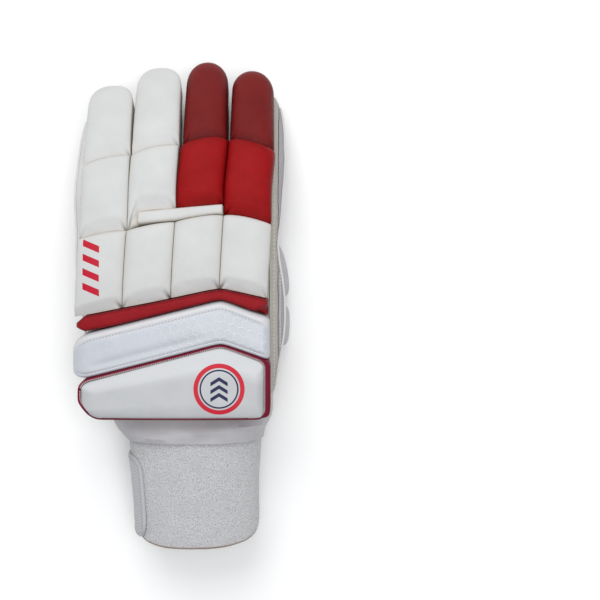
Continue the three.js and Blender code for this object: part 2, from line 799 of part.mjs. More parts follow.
const bandTube = (wall, over, count) =>
  loft(
    bandSections.map((row, i) => {
      const end = i === 0 ? -over : i === bandSections.length - 1 ? over : 0;
      const ring = bandRing(row.at * bandEnd, wall, count);
      const { slope } = spineAt(row.at * bandEnd);
      const run = new THREE.Vector3(0, Math.cos(slope), Math.sin(slope)).multiplyScalar(end);
      return ring.map((p) => p.add(run));
    }),
  );
addPiece(
  "wristband",
  bandTube(0, 0, 26).subtract(bandTube(towelling, 2, 26)),
  towelWhite,
);

// The closure tab is a curved patch on the band's little-finger side, from just over its top
// edge round to its underside.
const tabFrom = 0.03;
const tabTo = 0.79;
const tabStart = 2.42; // where it begins and ends round the oval, in radians
const tabEnd = 4.35;
const tabCorner = 0.16;

function tabPoint(along, angle, out) {
  const at = along / bandEnd;
  const left = bandLeft + bandSide(at, "left") * halfHand - out;
  const right = bandRight - bandSide(at, "right") * halfHand + out;
  const tall = bandHalfHeight * bandSide(at, "tall") + out;
  const c = Math.cos(angle);
  const s = Math.sin(angle);
  const across =
    (left + right) / 2 + ((right - left) / 2) * Math.sign(c) * Math.abs(c) ** (2 / bandPower);
  const above = tall * Math.sign(s) * Math.abs(s) ** (2 / bandPower);
  return leanHem(handPoint(across, along, above), at);
}

const tabStations = range(13).map((k) => k / 12);
addPiece(
  "closure_tab",
  loft(
    tabStations.map((share) => {
      const angle = THREE.MathUtils.lerp(tabStart, tabEnd, share);
      const round = Math.max(0, 1 - share / tabCorner);
      const draw = (1 - Math.sqrt(Math.max(0, 1 - round * round))) * tabCorner;
      const from = (tabFrom + draw) * bandEnd;
      const to = (tabTo - draw) * bandEnd;
      const run = range(6).map((k) => THREE.MathUtils.lerp(from, to, k / 5));
      return [
        ...run.map((along) => tabPoint(along, angle, seam + tabThickness)),
        ...run.reverse().map((along) => tabPoint(along, angle, seam)),
      ];
    }),
  ),
  patternWhite,
);

// The origin is under the middle of the glove, on the surface that it lies on.
const bounds = new THREE.Box3().setFromObject(glove);
const middle = bounds.getCenter(new THREE.Vector3());
glove.position.set(-middle.x, -middle.y, -bounds.min.z);

export default glove;
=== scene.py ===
import bmesh
import bpy
import numpy as np
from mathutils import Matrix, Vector, noise
from mathutils.bvhtree import BVHTree


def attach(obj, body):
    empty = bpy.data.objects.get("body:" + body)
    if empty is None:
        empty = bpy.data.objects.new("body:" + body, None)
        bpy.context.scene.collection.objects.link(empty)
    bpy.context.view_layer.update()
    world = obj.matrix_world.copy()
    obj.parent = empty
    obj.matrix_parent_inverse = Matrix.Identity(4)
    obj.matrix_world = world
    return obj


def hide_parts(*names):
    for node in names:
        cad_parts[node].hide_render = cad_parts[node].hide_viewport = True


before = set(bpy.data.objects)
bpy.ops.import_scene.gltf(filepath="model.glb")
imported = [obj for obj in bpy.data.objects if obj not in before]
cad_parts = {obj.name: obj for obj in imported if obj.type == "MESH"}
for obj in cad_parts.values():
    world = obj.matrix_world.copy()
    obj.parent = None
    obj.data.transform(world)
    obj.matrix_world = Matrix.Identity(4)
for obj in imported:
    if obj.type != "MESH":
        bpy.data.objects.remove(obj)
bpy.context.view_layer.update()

# The leather shell
# Under the pads is one hollow hand of thin goat leather with four finger stalls. It is cut in
# panels: the palm, a mesh gusset round the fingers' sides, the back, and a strip along each side.
mm = 0.001
finger_pitch = 29.7
half_hand = 2 * finger_pitch
leather = 2.0
seam = 0.4
stall_half_height = 12.0
stall_width = 27.4
band_length = 69.0
sleeve_end = 98.0
knuckle_row = 40.8
middle_row = 46.0
knuckle_line = 206.4
middle_line = 252.4
web_line = 212.38
hand_reach = 309.9
stall_root = 199.0
cross_arch = 3.0
frame_origin = np.array([-1.887054, -154.55693, 26.15009])

# Slope of the back, in degrees, at places along it: a climb, the knuckles, the fall to the tips.
spine_places = [0.0, 160.8, 206.4, 309.9, 400.0]
spine_slopes = np.radians([6.2, 6.2, -8.0, -36.2, -60.75])
spine_step = 0.05
spine_grid = np.arange(-40.0, 400.0, spine_step)
spine_lean = np.interp(spine_grid, spine_places, spine_slopes)


def summed(values):
    steps = (values[1:] + values[:-1]) / 2 * spine_step
    total = np.concatenate([[0.0], np.cumsum(steps)])
    return total - np.interp(0.0, spine_grid, total)


spine_y = summed(np.cos(spine_lean))
spine_z = summed(np.sin(spine_lean))


# The hand's own frame, in millimetres: across to the thumb side, along from the wristband's
# hem to the fingertips, and above the hand's middle surface.
def hand_point(across, along, above):
    across, along, above = np.broadcast_arrays(across, along, above)
    lean = np.interp(along, spine_grid, spine_lean)
    height = above - cross_arch * (across / half_hand) ** 2
    y = np.interp(along, spine_grid, spine_y) - np.sin(lean) * height
    z = np.interp(along, spine_grid, spine_z) + np.cos(lean) * height
    return (np.stack([across, y, z], -1) + frame_origin) * mm


def smooth_table(keys, values, x):
    keys, values = np.asarray(keys, float), np.asarray(values, float)
    x = np.clip(x, keys[0], keys[-1])
    last = len(keys) - 1
    rows = np.arange(len(keys))
    before, after = np.maximum(rows - 1, 0), np.minimum(rows + 1, last)
    lean = (values[after] - values[before]) / (keys[after] - keys[before])
    i = np.clip(np.searchsorted(keys, x, side="right") - 1, 0, last - 1)
    span = keys[i + 1] - keys[i]
    t = (x - keys[i]) / span
    ease = t * t * (3 - 2 * t)
    bend = lean[i] * t * (1 - t) ** 2 - lean[i + 1] * t * t * (1 - t)
    return values[i] * (1 - ease) + values[i + 1] * ease + span * bend


def smooth_step(x, low, high):
    t = np.clip((x - low) / (high - low), 0, 1)
    return t * t * (3 - 2 * t)


# Shares along a length, in stretches of start, end and count, closer where the form turns.
def stations(*stretches):
    return np.concatenate([np.linspace(*stretch) for stretch in stretches])


def run_along(path):
    return np.concatenate([[0], np.cumsum(np.linalg.norm(np.diff(path, axis=0), axis=1))])


def oval_rings(along, left, right, bottom, top, power, count):
    turn = 2 * np.pi * (np.arange(count) + 0.5) / count
    c = np.sign(np.cos(turn)) * np.abs(np.cos(turn)) ** (2 / power)
    s = np.sign(np.sin(turn)) * np.abs(np.sin(turn)) ** (2 / power)
    along, left, right, bottom, top = (
        np.reshape(value, (-1, 1)) for value in (along, left, right, bottom, top)
    )
    across = (left + right) / 2 + (right - left) / 2 * c
    return hand_point(across, along, (bottom + top) / 2 + (top - bottom) / 2 * s)


# Each end ring is covered by a strip between the ring's two halves.
def make_piece(name, rings, looped=False, crisp=42):
    rings = np.asarray(rings)
    rows, count = rings.shape[:2]
    at = np.arange(rows * count).reshape(rows, count)
    side = np.roll(at, -1, axis=1)
    faces = np.stack([at, side, np.roll(side, -1, axis=0), np.roll(at, -1, axis=0)], -1)
    faces = faces[: rows if looped else rows - 1].reshape(-1, 4).tolist()
    if not looped:
        for ring in (at[0], at[-1]):
            for i in range((count - 1) // 2):
                cap = [ring[i], ring[i + 1], ring[count - 2 - i], ring[count - 1 - i]]
                faces.append([int(corner) for corner in dict.fromkeys(cap)])
    mesh = bpy.data.meshes.new(name)
    mesh.from_pydata(rings.reshape(-1, 3).tolist(), [], faces)
    piece = bpy.data.objects.new(name, mesh)
    bpy.context.scene.collection.objects.link(piece)
    smooth_faces(piece, crisp)
    return piece


def smooth_faces(piece, crisp=42):
    shape = bmesh.new()
    shape.from_mesh(piece.data)
    bmesh.ops.recalc_face_normals(shape, faces=shape.faces)
    shape.to_mesh(piece.data)
    shape.free()
    piece.data.shade_smooth()
    piece.data.set_sharp_from_angle(angle=np.radians(crisp))


def carve(piece, tool, way):
    cut = piece.modifiers.new("cut", "BOOLEAN")
    cut.solver = "MANIFOLD"
    cut.operation = way
    cut.object = tool
    bpy.context.view_layer.update()
    graph = bpy.context.evaluated_depsgraph_get()
    mesh = bpy.data.meshes.new_from_object(piece.evaluated_get(graph))
    piece.modifiers.clear()
    piece.data = mesh
    return piece


def copy_of(piece, name):
    twin = bpy.data.objects.new(name, piece.data.copy())
    bpy.context.scene.collection.objects.link(twin)
    return twin


def discard(*pieces):
    for piece in pieces:
        bpy.data.objects.remove(piece)


def soft_noise(points, size, shift=0.0):
    places = (points.reshape(-1, 3) / (size * mm) + shift).tolist()
    return np.array([noise.noise(place) for place in places]).reshape(points.shape[:-1])


# at, left, right, bottom, top: at is a share of the way from the band to the finger webs, the
# sides are shares of the half hand and the heights shares of a stall's half height.
hand_rows = np.array([
    (0, -0.6, 0.92, -2.26, 2.26),
    (0.05, -0.68, 0.94, -2.27, 2.26),
    (0.1, -0.765, 0.985, -2.16, 1.98),
    (0.17, -0.82, 1.01, -2.0, 1.8),
    (0.3, -0.92, 1.05, -1.82, 1.68),
    (0.45, -1.0, 1.115, -1.68, 1.56),
    (0.62, -1.05, 1.13, -1.52, 1.42),
    (0.78, -1.08, 1.08, -1.32, 1.27),
    (0.89, -1.1, 1.055, -1.16, 1.12),
    (1, -1.12, 1.07, -1.04, 1.02),
])


def hand_side(along, column, scale):
    at = (along - band_length) / (web_line - band_length)
    return smooth_table(hand_rows[:, 0], hand_rows[:, column], at) * scale


def back_height(along):
    run = (along - web_line) / (hand_reach - web_line)
    hand = hand_side(along, 4, stall_half_height)
    return np.where(along < web_line, hand, stall_half_height * (1.02 - 0.12 * run))


# slot: place in the row of fingers. reach: tip past the middle line, as a share of the middle
# row. lean: sideways lean of the tip. tip: width of its roll. low, high: swell of its sides.
fingers = {
    "little": {"slot": -1.5, "reach": 0.86, "lean": 0.01, "tip": 1.0, "low": 0.29, "high": 0.0},
    "ring": {"slot": -0.5, "reach": 1.145, "lean": 0.035, "tip": 1.0, "low": 0.0, "high": 0.0},
    "middle": {"slot": 0.5, "reach": 1.25, "lean": 0.07, "tip": 0.95, "low": 0.0, "high": 0.0},
    "index": {"slot": 1.5, "reach": 1.12, "lean": 0.07, "tip": 0.95, "low": 0.0, "high": 0.25},
}


def finger_tip(finger):
    return middle_line + finger["reach"] * middle_row


def finger_centre(finger, along):
    past = smooth_step(along, knuckle_line + 0.3 * middle_row, middle_line)
    before = np.maximum(0, knuckle_line - along) / knuckle_row
    return finger_pitch * (finger["slot"] + finger["lean"] * past - 0.08 * before)


oval_power = 3
mouth_overrun = 3.0


def hand_rings(wall, grow, count):
    at = np.linspace(0, 1, 44)
    along = band_length + at * (web_line - band_length)
    along[-1] -= wall
    side = [hand_side(along, k, half_hand if k < 3 else stall_half_height) for k in range(1, 5)]
    inset = wall - grow
    if wall:
        along[0] -= mouth_overrun
    left, right, bottom, top = side
    return oval_rings(
        along, left + inset, right - inset, bottom + inset, top - inset, oval_power, count
    )


# at, wide, tall, bulge along a stall from its root to its tip
stall_rows = np.array([
    (-0.34, 0.96, 0.5, 0.55),
    (-0.17, 0.98, 0.78, 0.66),
    (0, 1, 0.97, 0.75),
    (0.27, 1, 1, 1),
    (0.56, 1, 1, 0.9),
    (0.8, 0.96, 0.96, 0.75),
    (0.94, 0.79, 0.78, 0.6),
    (0.985, 0.58, 0.56, 0.3),
    (1, 0.3, 0.28, 0.1),
])


def stall_rings(finger, wall):
    at = stations((-0.34, 0.78, 30), (0.81, 1, 14))
    along = stall_root + at * (finger_tip(finger) - 2 - wall - stall_root)
    wide, tall, bulge = (smooth_table(stall_rows[:, 0], stall_rows[:, k], at) for k in (1, 2, 3))
    centre = finger_centre(finger, along)
    half = stall_width / 2 * wide
    height = back_height(along) * tall
    inset = wall * np.minimum(1, wide + 0.35)
    return oval_rings(
        along,
        centre - half - finger["low"] * finger_pitch * bulge + inset,
        centre + half + finger["high"] * finger_pitch * bulge - inset,
        inset - height,
        height - inset,
        oval_power,
        48,
    )


# A block that follows the hand's bend, for cutting panels from the shell.
def bent_block(across, along, above):
    places = np.linspace(along[0], along[1], 60)[:, None]
    row = np.linspace(across[0], across[1], 24)
    low = hand_point(row, places, above[0])
    high = hand_point(row[::-1], places, above[1])
    return make_piece("block", np.concatenate([low, high], axis=1))


# The thumb runs under the palm, from a root in the side of the hand. Shares of the half hand,
# of the way from the band to the webs, and of a stall's half height:
thumb_radius = 12.5
thumb_places = np.array([
    (0.72, 0.24, -0.5),
    (0.79, 0.42, -1.52),
    (0.81, 0.58, -2.1),
    (0.765, 0.76, -2.27),
    (0.56, 0.97, -2.2),
])


# A curve through those places whose speed at each follows the distances round it.
def thumb_curve():
    along = band_length + thumb_places[:, 1] * (web_line - band_length)
    path = hand_point(
        thumb_places[:, 0] * half_hand, along, thumb_places[:, 2] * stall_half_height
    )
    path = np.vstack([2 * path[0] - path[1], path, 2 * path[-1] - path[-2]])
    curve = []
    for a, b, c, d in zip(path[:-3], path[1:-2], path[2:-1], path[3:]):
        ab, bc, cd = (np.linalg.norm(q - p) ** 0.5 for p, q in ((a, b), (b, c), (c, d)))
        start = ((b - a) / ab - (c - a) / (ab + bc) + (c - b) / bc) * bc
        end = ((c - b) / bc - (d - b) / (bc + cd) + (d - c) / cd) * bc
        t = np.linspace(0, 1, 60, endpoint=False)[:, None]
        curve.append(
            b + start * t + (3 * (c - b) - 2 * start - end) * t**2
            + (2 * (b - c) + start + end) * t**3
        )
    return np.vstack([*curve, path[-2:-1]])


thumb_line = thumb_curve()
thumb_run = run_along(thumb_line)


def thumb_point(t, angle, radius):
    t, angle, radius = np.broadcast_arrays(t, angle, radius)

    def at(share):
        run = np.clip(share, 0, 1) * thumb_run[-1]
        return np.stack([np.interp(run, thumb_run, thumb_line[:, k]) for k in range(3)], -1)

    forward = at(t + 0.01) - at(t - 0.01)
    forward /= np.linalg.norm(forward, axis=-1, keepdims=True)
    outward = np.cross(forward, [0, 0, 1])
    outward /= np.linalg.norm(outward, axis=-1, keepdims=True)
    up = np.cross(outward, forward)
    sideways = np.cos(angle)[..., None] * outward
    upward = 0.92 * np.sin(angle)[..., None] * up
    return at(t) + (sideways + upward) * radius[..., None] * mm


# share along the thumb, radius as a share of the thumb's own
thumb_rows = np.array([
    (0, 1.08),
    (0.25, 1.08),
    (0.5, 1.03),
    (0.75, 1),
    (0.88, 0.93),
    (0.96, 0.68),
    (1, 0.35),
])


def thumb_tube(wall):
    t = stations((0, 0.84, 30), (0.86, 1, 14))[:, None]
    radius = thumb_radius * smooth_table(thumb_rows[:, 0], thumb_rows[:, 1], t) - wall
    angle = 2 * np.pi * np.arange(48) / 48
    share = t * (1 - wall * mm / thumb_run[-1])
    return make_piece("tube", thumb_point(share, angle, np.maximum(radius, 1)))


def points_of(piece):
    points = np.zeros(3 * len(piece.data.vertices))
    piece.data.vertices.foreach_get("co", points)
    return points.reshape(-1, 3)


def move_points(piece, points):
    piece.data.vertices.foreach_set("co", points.ravel())
    piece.data.update()


# Leather that is never quite flat: the same soft field moves every panel, so seams still meet.
# It moves the palm's side more than the back, which the pads hold flat.
def ripple(piece, depth=0.55):
    points = points_of(piece)
    broad = soft_noise(points, 17, 3.1)
    fine = soft_noise(points, 6.5, 8.7)
    heights = depth * broad + 0.35 * depth * fine
    low_side = smooth_step(-points[:, 2], -0.034, -0.014)
    points[:, 2] += heights * (0.25 + 0.75 * low_side) * mm
    points[:, 0] += depth * 0.6 * fine * mm
    move_points(piece, points)


shell = make_piece("shell", hand_rings(0, 0, 120))
hollow = make_piece("hollow", hand_rings(leather, 0, 96))
for finger in fingers.values():
    stall = make_piece("stall", stall_rings(finger, 0))
    stall_hollow = make_piece("stall_hollow", stall_rings(finger, leather))
    carve(shell, stall, "UNION")
    carve(hollow, stall_hollow, "UNION")
    discard(stall, stall_hollow)
thumb_outer = thumb_tube(0)
thumb_hollow = thumb_tube(leather)
carve(shell, hollow, "DIFFERENCE")
carve(shell, thumb_hollow, "DIFFERENCE")

wide = 2.2 * half_hand
deep = 5 * stall_half_height
far_along = hand_reach + 40
gusset_top = 0.34 * stall_half_height
gusset_bottom = -0.5 * stall_half_height
strip_edge = half_hand - 2
mesh_edge = half_hand + 3.6
hand_start = sleeve_end + seam


def shell_panel(name, across, above):
    block = bent_block(across, (hand_start, far_along), above)
    panel = carve(copy_of(shell, name), block, "INTERSECT")
    discard(block)
    ripple(panel)
    smooth_faces(panel, 50)
    return panel


upper_half = (gusset_top + seam, deep)
palm = shell_panel("palm_leather", (-wide, wide), (-deep, gusset_bottom))
gusset = shell_panel("gusset_mesh", (-wide, wide), (gusset_bottom + seam, gusset_top))
back = shell_panel("back_leather", (-strip_edge, strip_edge), upper_half)
index_strip = shell_panel("index_strip", (strip_edge + seam, mesh_edge), upper_half)
index_mesh = shell_panel("index_side_mesh", (mesh_edge + seam, wide), upper_half)
little_strip = shell_panel("little_strip", (-wide, -strip_edge - seam), upper_half)


# Leather: a fine pebbled grain, with faint patches where the dye and the handling differ.
def calc(tree, operation, *values):
    node = tree.nodes.new("ShaderNodeMath")
    node.operation = operation
    for socket, value in zip(node.inputs, values):
        if isinstance(value, bpy.types.NodeSocket):
            tree.links.new(value, socket)
        else:
            socket.default_value = value
    return node.outputs[0]


def add_node(tree, kind, links=None, **settings):
    node = tree.nodes.new(kind)
    for key, value in settings.items():
        setattr(node, key, value)
    for socket, value in (links or {}).items():
        if isinstance(value, bpy.types.NodeSocket):
            tree.links.new(value, node.inputs[socket])
        else:
            node.inputs[socket].default_value = value
    return node


def product(tree, first, *others):
    for other in others:
        first = calc(tree, "MULTIPLY", first, other)
    return first


def object_place(tree):
    return add_node(tree, "ShaderNodeTexCoord").outputs["Object"]


def parts_of(tree, place):
    return add_node(tree, "ShaderNodeSeparateXYZ", {0: place}).outputs


def clouds(tree, **links):
    return add_node(tree, "ShaderNodeTexNoise", links).outputs["Fac"]


def attribute(tree, name, output="Fac"):
    return add_node(tree, "ShaderNodeAttribute", attribute_name=name).outputs[output]


def new_group(name, inputs, outputs):
    group = bpy.data.node_groups.new(name, "ShaderNodeTree")
    for label, kind, start in inputs:
        socket = group.interface.new_socket(label, in_out="INPUT", socket_type=kind)
        if start is not None:
            socket.default_value = start
    for label in outputs:
        group.interface.new_socket(label, in_out="OUTPUT", socket_type="NodeSocketFloat")
    return group, group.nodes.new("NodeGroupInput"), group.nodes.new("NodeGroupOutput")


def eased(tree, value, low, high, to_low=0.0, to_high=1.0):
    settings = {"Value": value, "From Min": low, "From Max": high}
    settings.update({"To Min": to_low, "To Max": to_high})
    return add_node(tree, "ShaderNodeMapRange", settings, clamp=True).outputs[0]


grain, ends, out = new_group(
    "leather_grain",
    [("Cells", "NodeSocketFloat", 1300.0), ("Patches", "NodeSocketFloat", 60.0)],
    ["Height", "Patch", "Wrinkle"],
)
place = object_place(grain)
pebbles = add_node(
    grain, "ShaderNodeTexVoronoi", {"Vector": place, "Scale": ends.outputs["Cells"]},
    feature="DISTANCE_TO_EDGE",
).outputs["Distance"]
pore_scale = product(grain, ends.outputs["Cells"], 0.4)
pores = clouds(grain, Vector=place, Scale=pore_scale, Detail=3.0)
patches = clouds(grain, Vector=place, Scale=ends.outputs["Patches"], Detail=3.0, Roughness=0.6)
crease_scale = product(grain, ends.outputs["Patches"], 4.0)
creases = clouds(grain, Vector=place, Scale=crease_scale, Detail=4.0, Distortion=1.2)
pebble_height = calc(grain, "MINIMUM", product(grain, pebbles, 4.0), 1.0)
height = calc(grain, "ADD", product(grain, pebble_height, 0.6), pores)
grain.links.new(height, out.inputs["Height"])
grain.links.new(eased(grain, patches, 0.32, 0.68), out.inputs["Patch"])
grain.links.new(eased(grain, creases, 0.35, 0.65), out.inputs["Wrinkle"])


def mixed(tree, share, first, second):
    node = add_node(tree, "ShaderNodeMix", data_type="RGBA")
    for socket, value in ((node.inputs[0], share), (node.inputs[6], first), (node.inputs[7], second)):
        if isinstance(value, bpy.types.NodeSocket):
            tree.links.new(value, socket)
        elif isinstance(value, (int, float)):
            socket.default_value = value
        else:
            socket.default_value = (*value, 1.0)
    return node.outputs[2]


def new_look(name, roughness, shine):
    look = bpy.data.materials.new(name)
    look.use_nodes = True
    shader = look.node_tree.nodes["Principled BSDF"]
    shader.inputs["Roughness"].default_value = roughness
    shader.inputs["Specular IOR Level"].default_value = shine
    return look, look.node_tree, shader


def raised(tree, shader, height, depth):
    bump = add_node(tree, "ShaderNodeBump", {"Height": height, "Distance": depth * mm})
    tree.links.new(bump.outputs[0], shader.inputs["Normal"])


def paint(tree, shader, colour):
    tree.links.new(colour, shader.inputs["Base Color"])


# What is printed on a leather goes over the colour that the leather already has.
def painted(look):
    shader = look.node_tree.nodes["Principled BSDF"]
    return look.node_tree, shader, shader.inputs["Base Color"].links[0].from_socket


# Colour, then the colour of its patches, and of its edges, which is partly real wear and seams and
# partly painted shade where the edges round down and meet the next part. Mottle is the share of the
# edge's colour in the hollows of the grain.
def leather_look(
    name, colour, patch, edge, roughness, shine, cells=1300.0, depth=0.05, mottle=0.0
):
    look, tree, shader = new_look(name, roughness, shine)
    skin = add_node(tree, "ShaderNodeGroup", node_tree=grain)
    skin.inputs["Cells"].default_value = cells
    rubbed = eased(tree, skin.outputs["Wrinkle"], 0, 1, 0.45, 1.0)
    wear_and_shade = product(tree, attribute(tree, "edge"), rubbed)
    # A quarter of the edge colour: the 'fold' attribute paints the pinch creases with it, as painted
    # shade.
    dark = tuple(0.25 * part for part in edge)
    specks = eased(tree, skin.outputs["Height"], 0.5, 1.1, mottle, 0.0)
    base = mixed(tree, skin.outputs["Patch"], colour, patch)
    base = mixed(tree, wear_and_shade, mixed(tree, specks, base, edge), edge)
    paint(tree, shader, mixed(tree, attribute(tree, "fold"), base, dark))
    rough = eased(tree, skin.outputs["Patch"], 0, 1, roughness - 0.05, roughness + 0.07)
    tree.links.new(rough, shader.inputs["Roughness"])
    raised(tree, shader, skin.outputs["Height"], depth)
    return look


cream_leather = leather_look(
    "cream_leather", (0.43, 0.405, 0.37), (0.375, 0.355, 0.325), (0.31, 0.285, 0.25), 0.62, 0.2
)
white_strip_leather = leather_look(
    "white_strip_leather", (0.64, 0.635, 0.63), (0.59, 0.585, 0.58), (0.5, 0.49, 0.47), 0.55, 0.25
)


def fit(piece, look, slot, *nodes):
    piece.data.materials.clear()
    piece.data.materials.append(look)
    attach(piece, "root")
    if nodes:
        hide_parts(*nodes)


fit(palm, cream_leather, "palm_leather", "palm")
fit(back, cream_leather, "palm_leather", "hand_back")
fit(index_strip, cream_leather, "palm_leather", "index_side_strip")
fit(little_strip, white_strip_leather, "white_leather", "little_side_strip")

# The gusset is knitted air mesh, with a hexagon of yarn round each hole. Its pattern runs
# along whichever way the panel faces.
net, ends, out = new_group(
    "hexagon_net",
    [("Place", "NodeSocketVector", None), ("Size", "NodeSocketFloat", 1.0)],
    ["Edge"],
)
scaled = add_node(
    net, "ShaderNodeVectorMath",
    {0: ends.outputs["Place"], "Scale": calc(net, "DIVIDE", 1.0, ends.outputs["Size"])},
    operation="SCALE",
).outputs[0]
row_height = 3**0.5
cell_distances = []
for offset in ((0.0, 0.0, 0.0), (0.5, row_height / 2, 0.0)):
    moved = add_node(net, "ShaderNodeVectorMath", {0: scaled, 1: offset}, operation="ADD")
    wrapped = add_node(
        net, "ShaderNodeVectorMath",
        {0: moved.outputs[0], 1: (0.5, row_height / 2, 0.5), 2: (-0.5, -row_height / 2, -0.5)},
        operation="WRAP",
    )
    parts = parts_of(net, wrapped.outputs[0])
    flat_side = calc(net, "ABSOLUTE", parts[0])
    slant = calc(
        net, "ADD", product(net, flat_side, 0.5),
        product(net, calc(net, "ABSOLUTE", parts[1]), row_height / 2),
    )
    cell_distances.append(calc(net, "MAXIMUM", flat_side, slant))
nearest = calc(net, "MINIMUM", *cell_distances)
net.links.new(calc(net, "SUBTRACT", 0.5, nearest), out.inputs["Edge"])


def add_attribute(piece, name, values, domain="POINT", kind="FLOAT"):
    made = piece.data.attributes.new(name, kind, domain)
    field = "vector" if kind == "FLOAT_VECTOR" else "value"
    made.data.foreach_set(field, np.asarray(values, float).ravel())


# Places in metres over a panel's faces, laid along the axes that each face looks across.
def lay_pattern(piece):
    mesh = piece.data
    flat = np.zeros((len(mesh.loops), 3))
    for face in mesh.polygons:
        away = [abs(part) for part in face.normal]
        first, second = {0: (1, 2), 1: (0, 2), 2: (0, 1)}[away.index(max(away))]
        for loop in face.loop_indices:
            spot = mesh.vertices[mesh.loops[loop].vertex_index].co
            flat[loop, :2] = spot[first], spot[second]
    add_attribute(piece, "flat", flat, "CORNER", "FLOAT_VECTOR")


mesh_cell = 0.0015
mesh_look, tree, shader = new_look("air_mesh", 0.85, 0.15)
place = attribute(tree, "flat", "Vector")
cells = add_node(tree, "ShaderNodeGroup", {"Place": place, "Size": mesh_cell}, node_tree=net)
yarn = eased(tree, cells.outputs[0], 0.16, 0.3, 1.0, 0.0)
paint(tree, shader, mixed(tree, yarn, (0.27, 0.265, 0.28), (0.43, 0.425, 0.44)))
raised(tree, shader, yarn, 0.35)
for panel, node in ((gusset, "mesh_gusset"), (index_mesh, "index_side_strip")):
    lay_pattern(panel)
    fit(panel, mesh_look, "mesh", node)


# Thread is sewn as single stitches, each a short arc that dips into the leather at both ends.
# A row follows a path dropped onto the panels along an aim.
def thread_look(name, roughness, shine, dark, light):
    look, tree, shader = new_look(name, roughness, shine)
    twist = clouds(tree, Scale=1600.0, Detail=1.0)
    paint(tree, shader, mixed(tree, twist, dark, light))
    return look, tree, shader, twist


thread, tree, shader, twist = thread_look(
    "thread", 0.7, 0.2, (0.6, 0.59, 0.56), (0.72, 0.71, 0.68)
)
raised(tree, shader, twist, 0.05)


def surface_of(*pieces):
    corners, faces = [], []
    for piece in pieces:
        start = len(corners)
        corners += [vertex.co.copy() for vertex in piece.data.vertices]
        faces += [[start + k for k in face.vertices] for face in piece.data.polygons]
    return BVHTree.FromPolygons(corners, faces)


def evenly(path, gap):
    run = run_along(path)
    places = np.arange(gap / 2, run[-1], gap)
    return np.stack([np.interp(places, run, path[:, k]) for k in range(3)], -1)


def drop(path, surface, aim, reach=0.2):
    aims = aim(path) if callable(aim) else [aim] * len(path)
    spots, normals = [], []
    for point, toward in zip(path, aims):
        toward = Vector(toward).normalized()
        spot, normal, _, _ = surface.ray_cast(Vector(point), toward, reach)
        if spot is not None:
            spots.append(spot)
            normals.append(normal if normal.dot(toward) < 0 else -normal)
    return np.array(spots), np.array(normals)


down = (0, 0, -1)


def sew(name, path, surface, look, slot, gap, length, thick, aim=down, slant=0.0):
    spots, normals = drop(evenly(path, gap * mm), surface, aim)
    ahead = np.gradient(spots, axis=0)
    ahead -= normals * np.sum(ahead * normals, axis=1, keepdims=True)
    ahead /= np.linalg.norm(ahead, axis=1, keepdims=True)
    aside = np.cross(normals, ahead)
    turned = (1 + slant * slant) ** 0.5
    ahead, aside = (ahead + slant * aside) / turned, (aside - slant * ahead) / turned
    arc = ((-0.5, -0.3, 0.45), (-0.3, 0.35, 0.95), (0.3, 0.35, 0.95), (0.5, -0.3, 0.45))
    ring = np.arange(6) * np.pi / 3
    corners, faces = [], []
    for spot, normal, forward, side in zip(spots, normals, ahead, aside):
        start = len(corners)
        for run, lift, round_share in arc:
            middle = spot + forward * run * length * mm + normal * lift * thick * mm
            for turn in ring:
                offset = side * np.cos(turn) + normal * np.sin(turn)
                corners.append(middle + offset * round_share * thick * mm)
        for row in range(3):
            for k in range(6):
                a, b = start + 6 * row + k, start + 6 * row + (k + 1) % 6
                faces.append((a, b, b + 6, a + 6))
        faces.append(tuple(start + k for k in range(5, -1, -1)))
        faces.append(tuple(start + 18 + k for k in range(6)))
    mesh = bpy.data.meshes.new(name)
    mesh.from_pydata([list(corner) for corner in corners], [], faces)
    row = bpy.data.objects.new(name, mesh)
    bpy.context.scene.collection.objects.link(row)
    smooth_faces(row, 60)
    fit(row, look, slot)
    return row


# A bead of piping: a tube along a path on the surface, sunk into it by a share of its radius.
bead_sink = 0.3


def bead(name, path, surface, aim, radius, look, slot):
    spots, normals = drop(evenly(path, 1.6 * mm), surface, aim)
    for _ in range(4):
        spots[1:-1] = (spots[:-2] + 2 * spots[1:-1] + spots[2:]) / 4
    ahead = np.gradient(spots, axis=0)
    ahead /= np.linalg.norm(ahead, axis=1, keepdims=True)
    normals -= ahead * np.sum(ahead * normals, axis=1, keepdims=True)
    normals /= np.linalg.norm(normals, axis=1, keepdims=True)
    aside = np.cross(ahead, normals)
    turn = 2 * np.pi * np.arange(10) / 10
    taper = np.ones(len(spots))
    taper[[0, -1]] = 0.3
    size = radius * mm * taper[:, None, None]
    middle = spots + normals * radius * (1 - bead_sink) * mm
    ring = np.cos(turn)[:, None] * aside[:, None] + np.sin(turn)[:, None] * normals[:, None]
    piece = make_piece(name, middle[:, None] + ring * size, crisp=80)
    fit(piece, look, slot)
    return piece


# Places straight above the back, and places out to one side of the hand.
def over_back(across, along, above=12.0):
    points = hand_point(across, along, back_height(along) + above)
    points[:, 2] = 0.12
    return points


def beside_hand(side, along, above):
    points = hand_point(side * 1.1 * half_hand, along, above)
    points[:, 0] = side * 0.1
    return points


side_surface = surface_of(palm, gusset, back, index_strip, index_mesh, little_strip)
